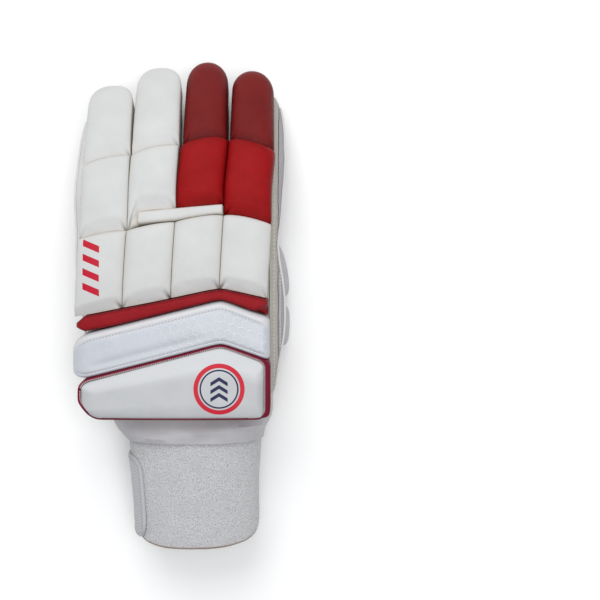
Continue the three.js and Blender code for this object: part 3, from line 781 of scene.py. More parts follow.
# name, slot, how far across, stretch along, gap, thickness
strip_stitch_rows = [
    ("index_strip", "palm_leather", 60.6, (104, 252, 120), 2.6, 0.28),
    ("index_mesh", "mesh", mesh_edge + 1.4, (128, 176, 60), 2.2, 0.32),
    ("little_strip", "white_leather", -62.4, (140, 250, 80), 2.6, 0.26),
]
for name, slot, across, stretch, gap, thick in strip_stitch_rows:
    path = over_back(across, np.linspace(*stretch), 0)
    sew(f"{name}_stitches", path, side_surface, thread, slot, gap, 1.7, thick)
piping_start = 101
for name, side, piping_end in (("index", 1, 290), ("little", -1, 278)):
    seam_along = np.linspace(piping_start, piping_end, 140)
    bead(
        f"{name}_side_piping", beside_hand(side, seam_along, gusset_top - 0.25),
        side_surface, (-side, 0, 0), 0.75, white_strip_leather, "white_leather",
    )
    bead(
        f"{name}_palm_piping", beside_hand(side, seam_along, gusset_bottom + seam + 0.25),
        side_surface, (-side, 0, 0), 0.6, cream_leather, "palm_leather",
    )

# The wrist sleeve
# The gathered leather skirt between the hand and the towelling band, sewn over the band's end.
sleeve_block = bent_block((-wide, wide), (0, sleeve_end), (-deep, deep))
sleeve = carve(shell, sleeve_block, "INTERSECT")
discard(sleeve_block)
sleeve.name = "wrist_sleeve_leather"
# Small gathers all over, and one soft fold that crosses it with a shallow valley beside it.
gather_depth = 0.5 * mm
fold_height = 2.2 * mm
valley_depth = 0.4 * mm
fold_place = (0.0155, -0.0817)
fold_slope = 0.12
points = points_of(sleeve)
x, y = points[:, 0], points[:, 1]
gathers = np.sin(y / 0.0042 + x / 0.021 + 1.3 * np.sin(x / 0.016))
upper = smooth_step(points[:, 2], 0.03, 0.05)
points[:, 2] += gather_depth * gathers * upper * smooth_step(-y, 0.06, 0.075)
points[:, 0] += gather_depth * np.sin(y / 0.0035 + points[:, 2] / 0.012)
crossing = y - fold_place[1] - fold_slope * (points[:, 0] - fold_place[0])
points[:, 2] += fold_height * upper * np.exp(-((crossing / 0.0021) ** 2))
points[:, 2] -= valley_depth * upper * np.exp(-(((crossing + 0.0045) / 0.0022) ** 2))
move_points(sleeve, points)
ripple(sleeve, 0.8)
smooth_faces(sleeve, 50)
sleeve_white = leather_look(
    "sleeve_leather", (0.465, 0.46, 0.48), (0.41, 0.405, 0.425), (0.38, 0.375, 0.38), 0.6, 0.2
)
tree, shader, plain_colour = painted(sleeve_white)
strip_side = eased(tree, parts_of(tree, object_place(tree))[0], 0.0556, 0.056)
paint(tree, shader, mixed(tree, strip_side, plain_colour, (0.475, 0.45, 0.41)))
fit(sleeve, sleeve_white, "white_leather", "wrist_sleeve")

# The thumb
# A hollow leather stall that is sewn into the hand's side and tucked under the palm, with two
# foam pads in white leather on its outer side.
hand_clear = make_piece("clear", hand_rings(0, seam, 96))
thumb_stall = carve(carve(thumb_outer, thumb_hollow, "DIFFERENCE"), hand_clear, "DIFFERENCE")
thumb_stall.name = "thumb_stall_leather"
ripple(thumb_stall, 0.4)
smooth_faces(thumb_stall, 50)
fit(thumb_stall, cream_leather, "palm_leather", "thumb_stall")
discard(thumb_hollow, hand_clear, hollow)

pad_leather = leather_look(
    "pad_leather", (0.55, 0.552, 0.55), (0.52, 0.522, 0.518), (0.6, 0.56, 0.5), 0.5, 0.25
)
thumb_leather = leather_look(
    "thumb_leather", (0.45, 0.45, 0.46), (0.41, 0.41, 0.42), (0.37, 0.36, 0.36), 0.6, 0.2
)


def thumb_pad(name, start, end, highest, node):
    at = stations((0, 0.35, 12), (0.4, 0.8, 8), (0.83, 1, 12))
    thick = smooth_table([0, 0.12, 0.35, 0.68, 0.9, 1], [0.45, 0.9, 1, 1, 0.85, 0.5], at)[:, None]
    t = (start + at * (end - start))[:, None]
    inner = thumb_radius * smooth_table(thumb_rows[:, 0], thumb_rows[:, 1], t) + 2 * seam
    share = np.linspace(0, 1, 29)
    angle = highest + share * (-1.2 - highest)
    swell = 0.3 + 0.7 * np.sqrt(1 - np.abs(1 - 2 * share) ** 2.4)
    outside = thumb_point(t, angle, inner + 9 * thick * swell)
    inside = thumb_point(t, angle[::-1], inner)
    piece = make_piece(name, np.concatenate([outside, inside], axis=1))
    fit(piece, thumb_leather, "white_leather", node)
    return piece


thumb_pad("thumb_pad_base", 0.25, 0.5, 0.3, "thumb_roll_base")
thumb_pad("thumb_pad_tip", 0.515, 0.93, 0.8, "thumb_roll_tip")

# The finger rolls
# Foam sticks covered in leather, three to a finger. Each is sewn down along its wrist end, so
# the leather runs down there in a flat facet with pinches at its corners, and it stands
# upright where it meets the next roll.
roll_gap = 0.2
roll_seat = 0.6
roll_sides = {"white_leather": 11.5, "red_leather": 9.5, "maroon_leather": 7.0}
roll_thickness = 15.5
roll_facet = 7.4
peak_across = 0.95 * finger_pitch
red_roll_peak = 160.8
red_roll_width = 9.6

red_leather = leather_look(
    "red_leather", (0.32, 0.004, 0.006), (0.265, 0.003, 0.004), (0.16, 0.003, 0.003), 0.42, 0.1,
    cells=2300.0, depth=0.08, mottle=0.4,
)
maroon_leather = leather_look(
    "maroon_leather", (0.15, 0.007, 0.007), (0.18, 0.011, 0.01), (0.075, 0.003, 0.003), 0.46, 0.13,
    cells=2300.0, depth=0.08, mottle=0.35,
)


def row_line(peak, fall_little, fall_index, soft):
    turn = soft * finger_pitch

    def line(across):
        off = across - peak_across
        run = np.sqrt(off * off + turn * turn) - turn
        return peak - run * np.where(off < 0, fall_little, fall_index)

    return line


red_roll_line = row_line(red_roll_peak, 0.2, 0.23, 0.2)
knuckle_top = row_line(knuckle_line, 0.164, 0.19, 0.2)
middle_top = row_line(middle_line, 0.2, 0.23, 0.2)

split_bar_left = -0.79 * finger_pitch
split_bar_right = finger_pitch - 0.3
split_bar_width = 5.0


def split_bar_line(across):
    start = knuckle_top(np.array(split_bar_right)) + seam + split_bar_width / 2 + 0.6
    return start + 0.085 * (across - split_bar_right)


def knuckle_high(across):
    under = (across > split_bar_left) & (across < split_bar_right)
    bar = split_bar_line(across) - split_bar_width / 2 - seam
    return np.where(under, np.minimum(knuckle_top(across), bar), knuckle_top(across))


def middle_low(name):
    def line(across):
        plain = knuckle_top(across) + roll_gap
        if name in ("little", "index"):
            return plain
        over = np.clip((across - split_bar_left) / (0.19 * finger_pitch) + 1, 0, 1)
        bar = np.maximum(split_bar_line(across) + split_bar_width / 2 + seam, plain)
        return plain + over * (bar - plain)

    return line


# bow: how far the middle of the lower and upper edge stands past their corners.
# pinches: side (-1 or 1) and depth of the folds at the lower corners.
def finger_roll(name, finger, low, high, look, slot, node, bow, pinches, seed, dome=False):
    if dome:
        round_top = 0.7 + 0.298 * np.sin(np.linspace(0, np.pi / 2, 20))
        t = np.concatenate([stations((0, 0.24, 18), (0.28, 0.66, 10)), round_top])
    else:
        t = stations((0, 0.3, 20), (0.35, 0.86, 12), (0.89, 1, 12))
    t = t[:, None]
    s = -np.cos(np.pi * np.arange(45) / 44)
    round_end = np.clip((t - 0.7) / 0.3, 0, 1) if dome else np.zeros_like(t)
    half = (finger_pitch - roll_gap) / 2 * (finger["tip"] if dome else 1)
    width = half * (1 - round_end**2.1) ** (1 / 2.1) * (1 - (0.05 if dome else 0.0) * t)

    guess = finger["slot"] * finger_pitch + s * width
    centre = finger_centre(finger, low(guess) * (1 - t) + high(guess) * t)
    across = centre + s * width
    swell = (bow[0] * (1 - t) + bow[1] * t) * (1 - s * s)
    along = low(across) * (1 - t) + high(across) * t + swell
    length = high(across) - low(across)
    from_low = t * length
    from_high = (1 - t) * length

    # The facet ramps up from the seam, and the crown rounds off toward both sides.
    profile = (1 - np.abs(s) ** 2.5) ** (1 / 2.1)
    roll_side = roll_sides[slot]
    height = roll_side + (roll_thickness - roll_side) * profile
    facet = roll_facet * (1 - 0.4 * np.abs(s) ** 5) + 0.4 + 0.5 * np.sin(2.3 * s + seed)
    u = from_low / facet
    ramp = np.maximum((u + 1 - np.sqrt((u - 1) ** 2 + 0.012)) / 2, 0)
    tucked = 0.74 if dome else 0.7
    rise = tucked + (0.95 - tucked) * ramp + 0.05 * smooth_step(from_low, 7, 17)
    if dome:
        rise = rise * (0.42 + 0.58 * np.sqrt(np.maximum(1 - round_end**2.6, 0)))
    else:
        edge = np.clip(1 - from_high / 3.2, 0, 1)
        rise = rise * (1 - 0.19 * (1 - np.sqrt(np.maximum(1 - edge * edge, 0))))
        rise = rise * (1 + 0.02 * np.exp(-(((from_high - 6) / 4) ** 2)))

    # A pinch is a groove that runs in from a corner, with a low swelling beside it.
    pinch, pinch_shade_mask = np.zeros_like(rise), np.zeros_like(rise)
    for side, depth in pinches:
        x, y = side * s * half, from_low
        near, far = np.array((0.96 * half, 0.3)), np.array((0.74 * half, 4.4))
        run = far - near
        share = np.clip(((x - near[0]) * run[0] + (y - near[1]) * run[1]) / run.dot(run), 0, 1)
        away = np.hypot(x - near[0] - share * run[0], y - near[1] - share * run[1])
        line = np.exp(-((away / 0.7) ** 2)) * (1 - 0.8 * share)
        pinch += 1.6 * depth * line
        pinch_shade_mask += depth * np.exp(-((away / 0.5) ** 2)) * (1 - share) ** 1.5
        pinch -= 0.35 * depth * np.exp(-(((away - 2.2) / 1.1) ** 2)) * (1 - share)

    lift = rise * height - pinch
    points = hand_point(across, along, back_height(along) + roll_seat + lift)
    rough = 0.22 * soft_noise(points, 9, seed) + 0.07 * soft_noise(points, 2.6, seed + 4)
    calm = smooth_step(np.minimum(from_low, from_high), 0, 2)
    lift = lift + rough * calm * (1 - np.abs(s) ** 6)
    top = hand_point(across, along, back_height(along) + roll_seat + lift)
    low_side = hand_point(across, along, back_height(along) + roll_seat)
    rings = np.concatenate([low_side[:, :1], top, low_side[:, -1:]], axis=1)
    piece = make_piece(name, rings)

    # Toward the borders the colour turns to the leather's edge colour. This is partly wear. On the red
    # and maroon rolls it is a wider band of painted shade down their rounded sides. The pinch grooves
    # are painted dark as painted shade.
    border = np.minimum(np.minimum(from_low, from_high + 20 * dome), (1 - np.abs(s)) * half * 1.6)
    worn_and_shaded = np.clip(1 - border / (2.0 if slot == "white_leather" else 6.0), 0, 1) ** 1.5
    ends = np.ones((len(t), 1))
    pinch_shade = np.clip(0.75 * pinch_shade_mask, 0, 0.9)
    add_attribute(piece, "fold", np.concatenate([0 * ends, pinch_shade, 0 * ends], axis=1))
    add_attribute(piece, "edge", np.concatenate([ends, worn_and_shaded, ends], axis=1))
    fit(piece, look, slot, node)
    return piece


# Four slanted red bars are printed on the little finger's knuckle roll.
bars_across, bars_along = -0.0532, 0.0212
bar_half_length = 0.0052
bar_half_width = 0.0021
bar_pitch = 0.0089
bar_slant = 0.42


def within(tree, value, limit):
    return calc(tree, "LESS_THAN", calc(tree, "ABSOLUTE", value), limit)


printed_leather = pad_leather.copy()
printed_leather.name = "printed_leather"
tree, shader, plain_colour = painted(printed_leather)
x, y, _ = parts_of(tree, object_place(tree))
slanted = calc(tree, "ADD", y, product(tree, x, bar_slant))
slanted = calc(tree, "ADD", slanted, -bars_across * bar_slant - bars_along)
bar = calc(tree, "WRAP", calc(tree, "ADD", slanted, bar_pitch / 2), bar_pitch / 2, -bar_pitch / 2)
printed = product(
    tree, within(tree, calc(tree, "ADD", x, -bars_across), bar_half_length),
    within(tree, bar, bar_half_width), within(tree, slanted, 2 * bar_pitch),
)
paint(tree, shader, mixed(tree, printed, plain_colour, (0.45, 0.006, 0.025)))

roll_looks = {
    "white": (pad_leather, "white_leather"),
    "printed": (printed_leather, "white_leather"),
    "red": (red_leather, "red_leather"),
    "maroon": (maroon_leather, "maroon_leather"),
}


def red_roll_top(across):
    return red_roll_line(across) + red_roll_width / 2 + 0.5


roll_rows = [
    ("knuckle", "little", "printed", (0, 0.9), ((1, 1.3),)),
    ("knuckle", "ring", "white", (0, 0.5), ((1, 1.5), (-1, 0.5))),
    ("knuckle", "middle", "white", (0, 0.3), ((1, 1.0),)),
    ("knuckle", "index", "white", (0, 0.9), ((-1, 1.4), (1, 0.4))),
    ("middle", "little", "white", (0.9, 1.1), ((1, 1.2), (-1, 0.5))),
    ("middle", "ring", "white", (0.3, 1.1), ((-1, 0.9), (1, 0.6))),
    ("middle", "middle", "red", (0.2, 1.0), ((1, 0.8), (-1, 0.5))),
    ("middle", "index", "red", (0.9, 1.1), ((-1, 1.5), (1, 0.5))),
    ("tip", "little", "white", (1.1, 0), ((1, 0.8),)),
    ("tip", "ring", "white", (1.1, 0), ((1, 1.0),)),
    ("tip", "middle", "maroon", (1.0, 0), ((-1, 1.3),)),
    ("tip", "index", "maroon", (1.1, 0), ((-1, 0.8), (1, 0.6))),
]
for seed, (row, name, colour, bow, pinches) in enumerate(roll_rows):
    finger = fingers[name]
    if row == "knuckle":
        low, high = red_roll_top, knuckle_high
    elif row == "middle":
        low, high = middle_low(name), middle_top
    else:
        low = lambda across: middle_top(across) + roll_gap
        high = lambda across, end=finger_tip(finger): end + 0 * across
    look, slot = roll_looks[colour]
    finger_roll(
        f"{name}_{row}_roll", finger, low, high, look, slot, f"roll_{row}_{name}", bow, pinches,
        seed * 1.7, dome=row == "tip",
    )

# The bars across the hand
# A thin white bar lies between the rows over the ring and middle fingers, and a thicker red
# one over the back of the hand. Both are foam rolled in leather, sewn down along both edges.
# Shares across a bar, from its lower edge to its upper one.
pad_shares = -np.cos(np.pi * np.arange(41) / 40)
base_columns = [-1, 20, 0]


def cross_pad(name, across, low, high, thick, side_share, power, look, slot, node, shape=None):
    across, low, high, thick = (np.reshape(value, (-1, 1)) for value in (across, low, high, thick))
    middle, half = (low + high) / 2, (high - low) / 2
    arch = (1 - np.abs(pad_shares) ** power) ** (1 / power)
    lift = thick * (side_share + (1 - side_share) * arch)
    along = middle + half * pad_shares
    if shape is not None:
        lift = lift + shape(across, along, low, high)
    points = hand_point(across, along, back_height(along) + roll_seat + lift)
    rough = 0.18 * soft_noise(points, 8, thick[0, 0]) + 0.06 * soft_noise(points, 2.4, 9.1)
    top = hand_point(across, along, back_height(along) + roll_seat + lift + rough * arch)
    base = hand_point(across, along, back_height(along) + roll_seat)[:, base_columns]
    piece = make_piece(name, np.concatenate([top, base], axis=1))
    steps = np.linalg.norm(np.diff(top, axis=1), axis=2)
    run = np.concatenate([np.zeros((len(across), 1)), np.cumsum(steps, axis=1)], axis=1)
    place = np.stack([across * mm + 0 * run, run, 0 * run], -1)
    place = np.concatenate([place, place[:, base_columns]], axis=1)
    add_attribute(piece, "flat", place, kind="FLOAT_VECTOR")
    # The borders take the leather's edge colour. This is partly wear and partly painted shade along the
    # seams, darkest on the red bar.
    border = np.minimum(along - low, high - along)
    ends = np.minimum(across - across[0], across[-1] - across)
    worn_and_shaded = np.clip(1 - np.minimum(border, ends) / 1.8, 0, 1)
    worn_and_shaded = np.concatenate([worn_and_shaded, np.ones((len(across), 3))], axis=1)
    add_attribute(piece, "edge", worn_and_shaded)
    fit(piece, look, slot, node)
    return piece


def rounded_ends(share, left, right):
    from_left = np.clip(share / left, 0, 1)
    from_right = np.clip((1 - share) / right, 0, 1)
    return np.sqrt(1 - (1 - from_left) ** 2), np.sqrt(1 - (1 - from_right) ** 2)


share = stations((0, 0.05, 8), (0.07, 0.93, 40), (0.95, 1, 8))
across = split_bar_left + share * (split_bar_right - split_bar_left)
from_left, from_right = rounded_ends(share, 0.035, 0.02)
fullness = 0.82 + 0.18 * from_left * from_right
split_bar_low = np.maximum(split_bar_line(across) - 4.4 * fullness, knuckle_high(across) + 0.3)
cross_pad(
    "split_bar_roll", across, split_bar_low,
    split_bar_line(across) + 2.5 * fullness, 15 * fullness, 0.74, 3.2, pad_leather,
    "white_leather", "split_bar",
)


# The red bar's end by the index finger is folded in flat before it is sewn down.
red_bar_leather = leather_look(
    "red_bar_leather", (0.31, 0.01, 0.016), (0.265, 0.008, 0.013), (0.1, 0.002, 0.004), 0.45, 0.1,
    cells=2300.0, depth=0.08, mottle=0.4,
)
pattern_top = row_line(red_roll_peak - red_roll_width / 2 + 3.4, 0.252, 0.4, 0.1)
share = stations((0, 0.06, 14), (0.07, 0.88, 90), (0.89, 1, 24))
across = -half_hand - 2 + share * (2 * half_hand)
from_left, from_right = rounded_ends(share, 0.04, 0.02)
pointed = np.clip(share / 0.05, 0, 1)
fullness = (0.3 + 0.3 * pointed + 0.4 * from_left * pointed) * (0.75 + 0.25 * from_right)
bar_thick = 15 * (0.62 + 0.38 * from_left) * (0.75 + 0.25 * from_right)
red_low = red_roll_line(across) - red_roll_width / 2 * fullness
red_high = red_roll_line(across) + red_roll_width / 2 * fullness
beside_band = pattern_top(across) + seam
red_low = np.where(across > peak_across, beside_band, np.maximum(red_low, beside_band))


def end_fold(across, along, low, high):
    fold = (high - along) - 1.6 - 0.62 * (across[-1] - across)
    return -7.5 * smooth_step(fold, 0, 5.0)


cross_pad(
    "red_bar_roll", across, red_low, red_high,
    bar_thick, 0.66, 3.0, red_bar_leather, "red_leather", "red_roll", end_fold,
)

# The patterned band
# A flat foam band in pearly coated leather, embossed with a net of hexagons and stitched
# through a little way in from both of its long edges.
cuff_low = 88.0
cuff_height = 42.2
cuff_peak = 130.2
welt_width = 1.5
cuff_top = row_line(cuff_peak, 0.262, 0.38, 0.1)
hexagon_size = 0.0056

pattern_look, tree, shader = new_look("hexagon_leather", 0.4, 0.35)
skin = add_node(tree, "ShaderNodeGroup", node_tree=grain)
place = attribute(tree, "flat", "Vector")
cells = add_node(tree, "ShaderNodeGroup", {"Place": place, "Size": hexagon_size}, node_tree=net)
line = eased(tree, cells.outputs[0], 0.03, 0.085, 1.0, 0.0)
faded = product(
    tree, eased(tree, parts_of(tree, place)[0], -0.045, 0.04, 0.08, 0.8),
    eased(tree, skin.outputs["Patch"], 0.0, 0.8, 0.15, 1.0),
)
inner = attribute(tree, "inner")
line = product(tree, line, faded, inner)
colour = mixed(tree, skin.outputs["Patch"], (0.5, 0.52, 0.565), (0.47, 0.49, 0.535))
colour = mixed(tree, line, colour, (0.63, 0.64, 0.67))
colour = mixed(tree, inner, (0.57, 0.575, 0.59), colour)
paint(tree, shader, mixed(tree, attribute(tree, "edge"), colour, (0.47, 0.47, 0.5)))
tree.links.new(eased(tree, line, 0, 1, 0.34, 0.18), shader.inputs["Roughness"])
raised(tree, shader, calc(tree, "ADD", line, product(tree, skin.outputs["Height"], 0.12)), 0.2)

pattern_left = -1.085 * half_hand
pattern_right = 0.98 * half_hand
share = stations((0, 0.09, 26), (0.1, 0.93, 110), (0.94, 1, 16))
across = pattern_left + share * (pattern_right - pattern_left)
low = cuff_top(across) + welt_width + 2 * seam
high = pattern_top(across)
from_left, from_right = rounded_ends(share, 0.1, 0.035)
low, high = (
    low + (high - low) * (0.25 * (1 - from_left) + 0.09 * (1 - from_right)),
    high - (high - low) * (0.33 * (1 - from_left) + 0.1 * (1 - from_right)),
)
thick = 14 * (0.36 + 0.64 * from_left) * (0.55 + 0.45 * from_right)
upper_stitch = 5.2
lower_stitch = 2.6


def sewn_channels(across, along, low, high):
    upper = np.exp(-(((high - along - upper_stitch) / 0.8) ** 2))
    lower = np.exp(-(((along - low - lower_stitch) / 0.7) ** 2))
    roll = 0.5 * np.exp(-(((high - along - 2.6) / 1.8) ** 2))
    hollow = np.exp(-(((along - low - 6.5) / 2.8) ** 2)) * smooth_step(-np.abs(across + 18), -44, -20)
    inward = smooth_step(np.minimum(across - pattern_left, pattern_right - across), 0.4, 5.0)
    return inward * (roll - 0.75 * upper - 0.6 * lower - 1.3 * hollow)


band = cross_pad(
    "hexagon_band", across, low, high, thick, 0.66, 3.2, pattern_look, "patterned_leather",
    "pattern_band", sewn_channels,
)
along = (low + high)[:, None] / 2 + (high - low)[:, None] / 2 * pad_shares
between = smooth_step(high[:, None] - along, upper_stitch - 0.3, upper_stitch + 0.3)
between = np.concatenate([between, np.zeros((len(across), 3))], axis=1)
add_attribute(band, "inner", between)
band_surface = surface_of(band)
grey_thread = thread_look("grey_thread", 0.75, 0.15, (0.33, 0.33, 0.35), (0.44, 0.44, 0.46))[0]
stitched = slice(17, -11)
band_stitch_rows = [("upper", high - upper_stitch, 2.1, 1.25), ("lower", low + lower_stitch, 2.3, 1.5)]
for name, along, gap, length in band_stitch_rows:
    sew(
        f"band_{name}_stitches", over_back(across[stitched], along[stitched]), band_surface,
        grey_thread, "patterned_leather", gap, length, 0.2,
    )

# The cuff
# A firm foam panel in smooth white leather over the wrist, flat on top with a soft crease
# below its upper edge, and a small round badge of rings and chevrons printed at its thumb end.
cuff_thickness = 17.0
cuff_edge = 12.0
cuff_left = -0.975 * half_hand
cuff_right = 0.925 * half_hand
cuff_tilt = np.tan(spine_slopes[0])

# at, low, high: how far the edges draw in there, as shares of the cuff's height
cuff_rows = np.array([
    (0, 0.25, 0.075),
    (0.006, 0.21, 0.04),
    (0.022, 0.145, 0.012),
    (0.05, 0.06, 0),
    (0.085, 0.01, 0),
    (0.12, 0, 0),
    (0.95, 0, 0),
    (0.985, 0.02, 0.01),
    (1, 0.08, 0.05),
])


def cuff_face(across, along):
    base = back_height(np.array(cuff_low)) + roll_seat + cuff_thickness
    return base - cuff_tilt * (along - cuff_low) + cross_arch * (across / half_hand) ** 2


cuff_at = stations((0, 0.13, 26), (0.14, 0.93, 60), (0.94, 1, 16))
cuff_across = cuff_left + cuff_at * (cuff_right - cuff_left)
cuff_bottom = cuff_low + smooth_table(cuff_rows[:, 0], cuff_rows[:, 1], cuff_at) * cuff_height
cuff_high = cuff_top(cuff_across) - smooth_table(cuff_rows[:, 0], cuff_rows[:, 2], cuff_at) * cuff_height


def soft_least(first, second, blend=0.06):
    return (first + second - np.sqrt((first - second) ** 2 + blend)) / 2


across = cuff_across[:, None]
rise = np.linspace(0, 1, 61)
rise = rise - 0.06 * np.sin(2 * np.pi * rise)
along = cuff_bottom[:, None] + (cuff_high - cuff_bottom)[:, None] * rise
at = cuff_at[:, None]
sideways = 1 - np.maximum(0, 1 - at / 0.1) ** 2.4 - np.maximum(0, 1 - (1 - at) / 0.06) ** 2.4
crease = soft_least(1, (1 - rise) / (0.3 - 0.08 * at), 0.004)
lengthways = np.minimum(crease, 1 - 0.6 * np.maximum(0, 1 - rise / 0.3) ** 2)
fullness = np.clip(soft_least(sideways, lengthways, 0.008) + 0.01, 0, 1)
drop_off = (cuff_thickness - cuff_edge) * (1 - fullness)
border = np.minimum(along - cuff_bottom[:, None], cuff_high[:, None] - along)
border = np.minimum(border, np.minimum(across - cuff_left, cuff_right - across))
rim = np.clip(1 - border / 1.3, 0, 1)
drop_off = drop_off + 0.6 * (1 - np.sqrt(1 - rim * rim))
top = hand_point(across, along, cuff_face(across, along) - drop_off)
soft = 0.16 * soft_noise(top, 13, 2.2) + 0.05 * soft_noise(top, 3.2, 6.6)
inner = smooth_step(border, 0.4, 3)
top = hand_point(across, along, cuff_face(across, along) - drop_off + soft * inner)
bottom = hand_point(across, along, back_height(along) + roll_seat)
cuff = make_piece("cuff_pad", np.concatenate([top, bottom[:, ::-1]], axis=1), crisp=50)
# The rim takes the darker edge colour, partly wear and partly painted shade along the welt.
worn_and_shaded = np.clip(1 - border / 1.2, 0, 1)
worn_and_shaded = np.concatenate([worn_and_shaded, np.ones_like(worn_and_shaded)], axis=1)
add_attribute(cuff, "edge", worn_and_shaded)
# Painted light: the upper band of the face is painted lighter, where the light from the fingertips' side
# falls on it.
lit_top = smooth_step(rise + 0.08 * at + 0 * across, 0.62, 0.86)
add_attribute(cuff, "lit_top", np.concatenate([lit_top, 0 * lit_top], axis=1))

# The cuff's white leather is painted darker than the pads' white leather, as painted shade where less
# light reaches toward the wrist.
badge_leather = leather_look(
    "badge_leather", (0.46, 0.468, 0.48), (0.435, 0.443, 0.455), (0.42, 0.42, 0.42), 0.5, 0.25
)
tree, shader, plain_colour = painted(badge_leather)
lit_top_share = product(tree, attribute(tree, "lit_top"), 0.8)
plain_colour = mixed(tree, lit_top_share, plain_colour, (0.57, 0.58, 0.6))
badge_place = (0.0257, -0.0532, 0)
from_badge = add_node(
    tree, "ShaderNodeVectorMath", {0: object_place(tree), 1: badge_place}, operation="SUBTRACT"
)
x, y, _ = parts_of(tree, from_badge.outputs[0])
radius = calc(tree, "SQRT", calc(tree, "ADD", product(tree, x, x), product(tree, y, y)))


def ring_mask(middle, half):
    away = calc(tree, "ABSOLUTE", calc(tree, "SUBTRACT", radius, middle))
    return eased(tree, away, half, half + 0.00018, 1.0, 0.0)


red_ring = ring_mask(0.0143, 0.0013)
navy_ring = ring_mask(0.0115, 0.0004)
chevron = calc(tree, "ADD", y, product(tree, calc(tree, "ABSOLUTE", x), 0.62))
chevron = calc(tree, "SUBTRACT", chevron, 0.0014)
repeat = calc(tree, "WRAP", chevron, 0.0024, -0.0024)
stripes = eased(tree, calc(tree, "ABSOLUTE", repeat), 0.0011, 0.0013, 1.0, 0.0)
three = eased(tree, calc(tree, "ABSOLUTE", chevron), 0.007, 0.0072, 1.0, 0.0)
beside = eased(tree, calc(tree, "ABSOLUTE", x), 0.0052, 0.0054, 1.0, 0.0)
stripes = product(tree, three, beside, stripes)
ink = mixed(tree, red_ring, plain_colour, (0.5, 0.012, 0.03))
ink = mixed(tree, calc(tree, "MAXIMUM", navy_ring, stripes), ink, (0.008, 0.012, 0.06))
paint(tree, shader, ink)
fit(cuff, badge_leather, "white_leather", "cuff_panel")

# The welt: a strip of dark red leather folded round a cord and whip-stitched round the panel.
outline = np.concatenate([
    np.stack([cuff_across, cuff_high], -1),
    np.stack([np.full(24, cuff_right), np.linspace(cuff_high[-1], cuff_bottom[-1], 26)[1:-1]], -1),
    np.stack([cuff_across, cuff_bottom], -1)[::-1],
    np.stack([np.full(14, cuff_left), np.linspace(cuff_bottom[0], cuff_high[0], 16)[1:-1]], -1),
])
closed = np.vstack([outline, outline[:1]])
run = run_along(closed)
places = np.linspace(0, run[-1], 421)[:-1]
outline = np.stack([np.interp(places, run, closed[:, k]) for k in (0, 1)], -1)
for _ in range(3):
    outline = (np.roll(outline, 1, 0) + 2 * outline + np.roll(outline, -1, 0)) / 4
ahead = np.roll(outline, -1, 0) - np.roll(outline, 1, 0)
ahead /= np.linalg.norm(ahead, axis=1, keepdims=True)
outward = np.stack([-ahead[:, 1], ahead[:, 0]], -1)
flare = smooth_step(outward[:, 0], 0.55, 0.95)
lower_side = smooth_step(-outward[:, 1], 0.3, 0.9)
width = welt_width + 0.6 + (3.2 - welt_width) * flare - 0.5 * lower_side
turn = np.linspace(0, np.pi, 9)
welt_start = 0.12
offsets = [welt_start * np.ones_like(width)]
heights = [np.zeros_like(width)]
for step in turn:
    offsets.append(welt_start + (width - welt_start) * (1 - np.cos(step)) / 2)
    heights.append(np.full_like(width, 0.25 + 0.95 * np.sin(step)))
offsets.append(width)
heights.append(np.zeros_like(width))
rings = []
for k, (offset, height) in enumerate(zip(offsets, heights)):
    spot = outline + outward * offset[:, None]
    if 0 < k < len(offsets) - 1:
        level = cuff_face(spot[:, 0], spot[:, 1]) - (cuff_thickness - cuff_edge) - 0.7 + height
    else:
        level = back_height(spot[:, 1]) + roll_seat
    rings.append(hand_point(spot[:, 0], spot[:, 1], level))
welt = make_piece("cuff_piping", np.stack(rings, axis=1), looped=True, crisp=60)
welt_look = leather_look(
    "welt_leather", (0.15, 0.002, 0.022), (0.125, 0.002, 0.018), (0.07, 0.001, 0.01), 0.5, 0.12
)
fit(welt, welt_look, "welt", "cuff_welt")
cuff_surface = surface_of(cuff, welt)
whip = outline + outward * 0.4
sew(
    "cuff_whip_stitches", over_back(whip[:, 0], whip[:, 1]), cuff_surface, thread,
    "white_leather", 1.2, 1.2, 0.26, slant=2.6,
)

# The wristband
# A stretch tube of white towelling, knitted in small loops, that is gathered into the sleeve
# and hemmed at its open end.
band_half_height = 25.0
band_left = -31.5
band_right = 53.5
band_end = 74.0
hem_lean = 8.0
band_power = 2.5
# share along the band, how far its two sides draw in as shares of the half hand, its height
band_rows = np.array([
    (0, 0.075, 0.075, 0.985),
    (0.06, 0.055, 0.06, 1),
    (0.3, 0.045, 0.055, 1),
    (0.6, 0.02, 0.05, 0.99),
    (0.9, -0.015, 0.03, 0.97),
    (1, 0, 0.06, 0.96),
])


def band_side(along, column):
    return smooth_table(band_rows[:, 0], band_rows[:, column], along / band_end)


def lean_hem(points, along):
    down = 1 - (points[..., 2] / mm - frame_origin[2]) / band_half_height
    points = points.copy()
    points[..., 1] += hem_lean * mm * down * (1 - along / band_end) ** 2
    return points


def band_rings(along, wall, count):
    left = band_left + band_side(along, 1) * half_hand + wall
    right = band_right - band_side(along, 2) * half_hand - wall
    tall = band_half_height * band_side(along, 3) - wall
    rings = oval_rings(along, left, right, -tall, tall, band_power, count)
    return lean_hem(rings, along[:, None])


around = 560
outside_rows = 170
towel_wall = 3.8
outside = band_rings(np.linspace(band_end, 0.9, outside_rows), 0.0, around)
turn = np.linspace(0, np.pi, 10)[1:-1]
hem = np.concatenate([
    band_rings(np.array([1.6 - 1.6 * np.sin(step)]), towel_wall / 2 * (1 - np.cos(step)), around)
    for step in turn
])
inside = band_rings(np.linspace(0.9, band_end, 44), towel_wall, around)
sections = np.concatenate([outside, hem, inside])
ahead = np.gradient(sections, axis=0)
sideways = np.roll(sections, -1, axis=1) - np.roll(sections, 1, axis=1)
away = np.cross(ahead, sideways)
away /= np.linalg.norm(away, axis=2, keepdims=True)
centre = sections[:outside_rows].mean(axis=(0, 1))
if np.sum(away[60] * (sections[60] - centre)) < 0:
    away = -away


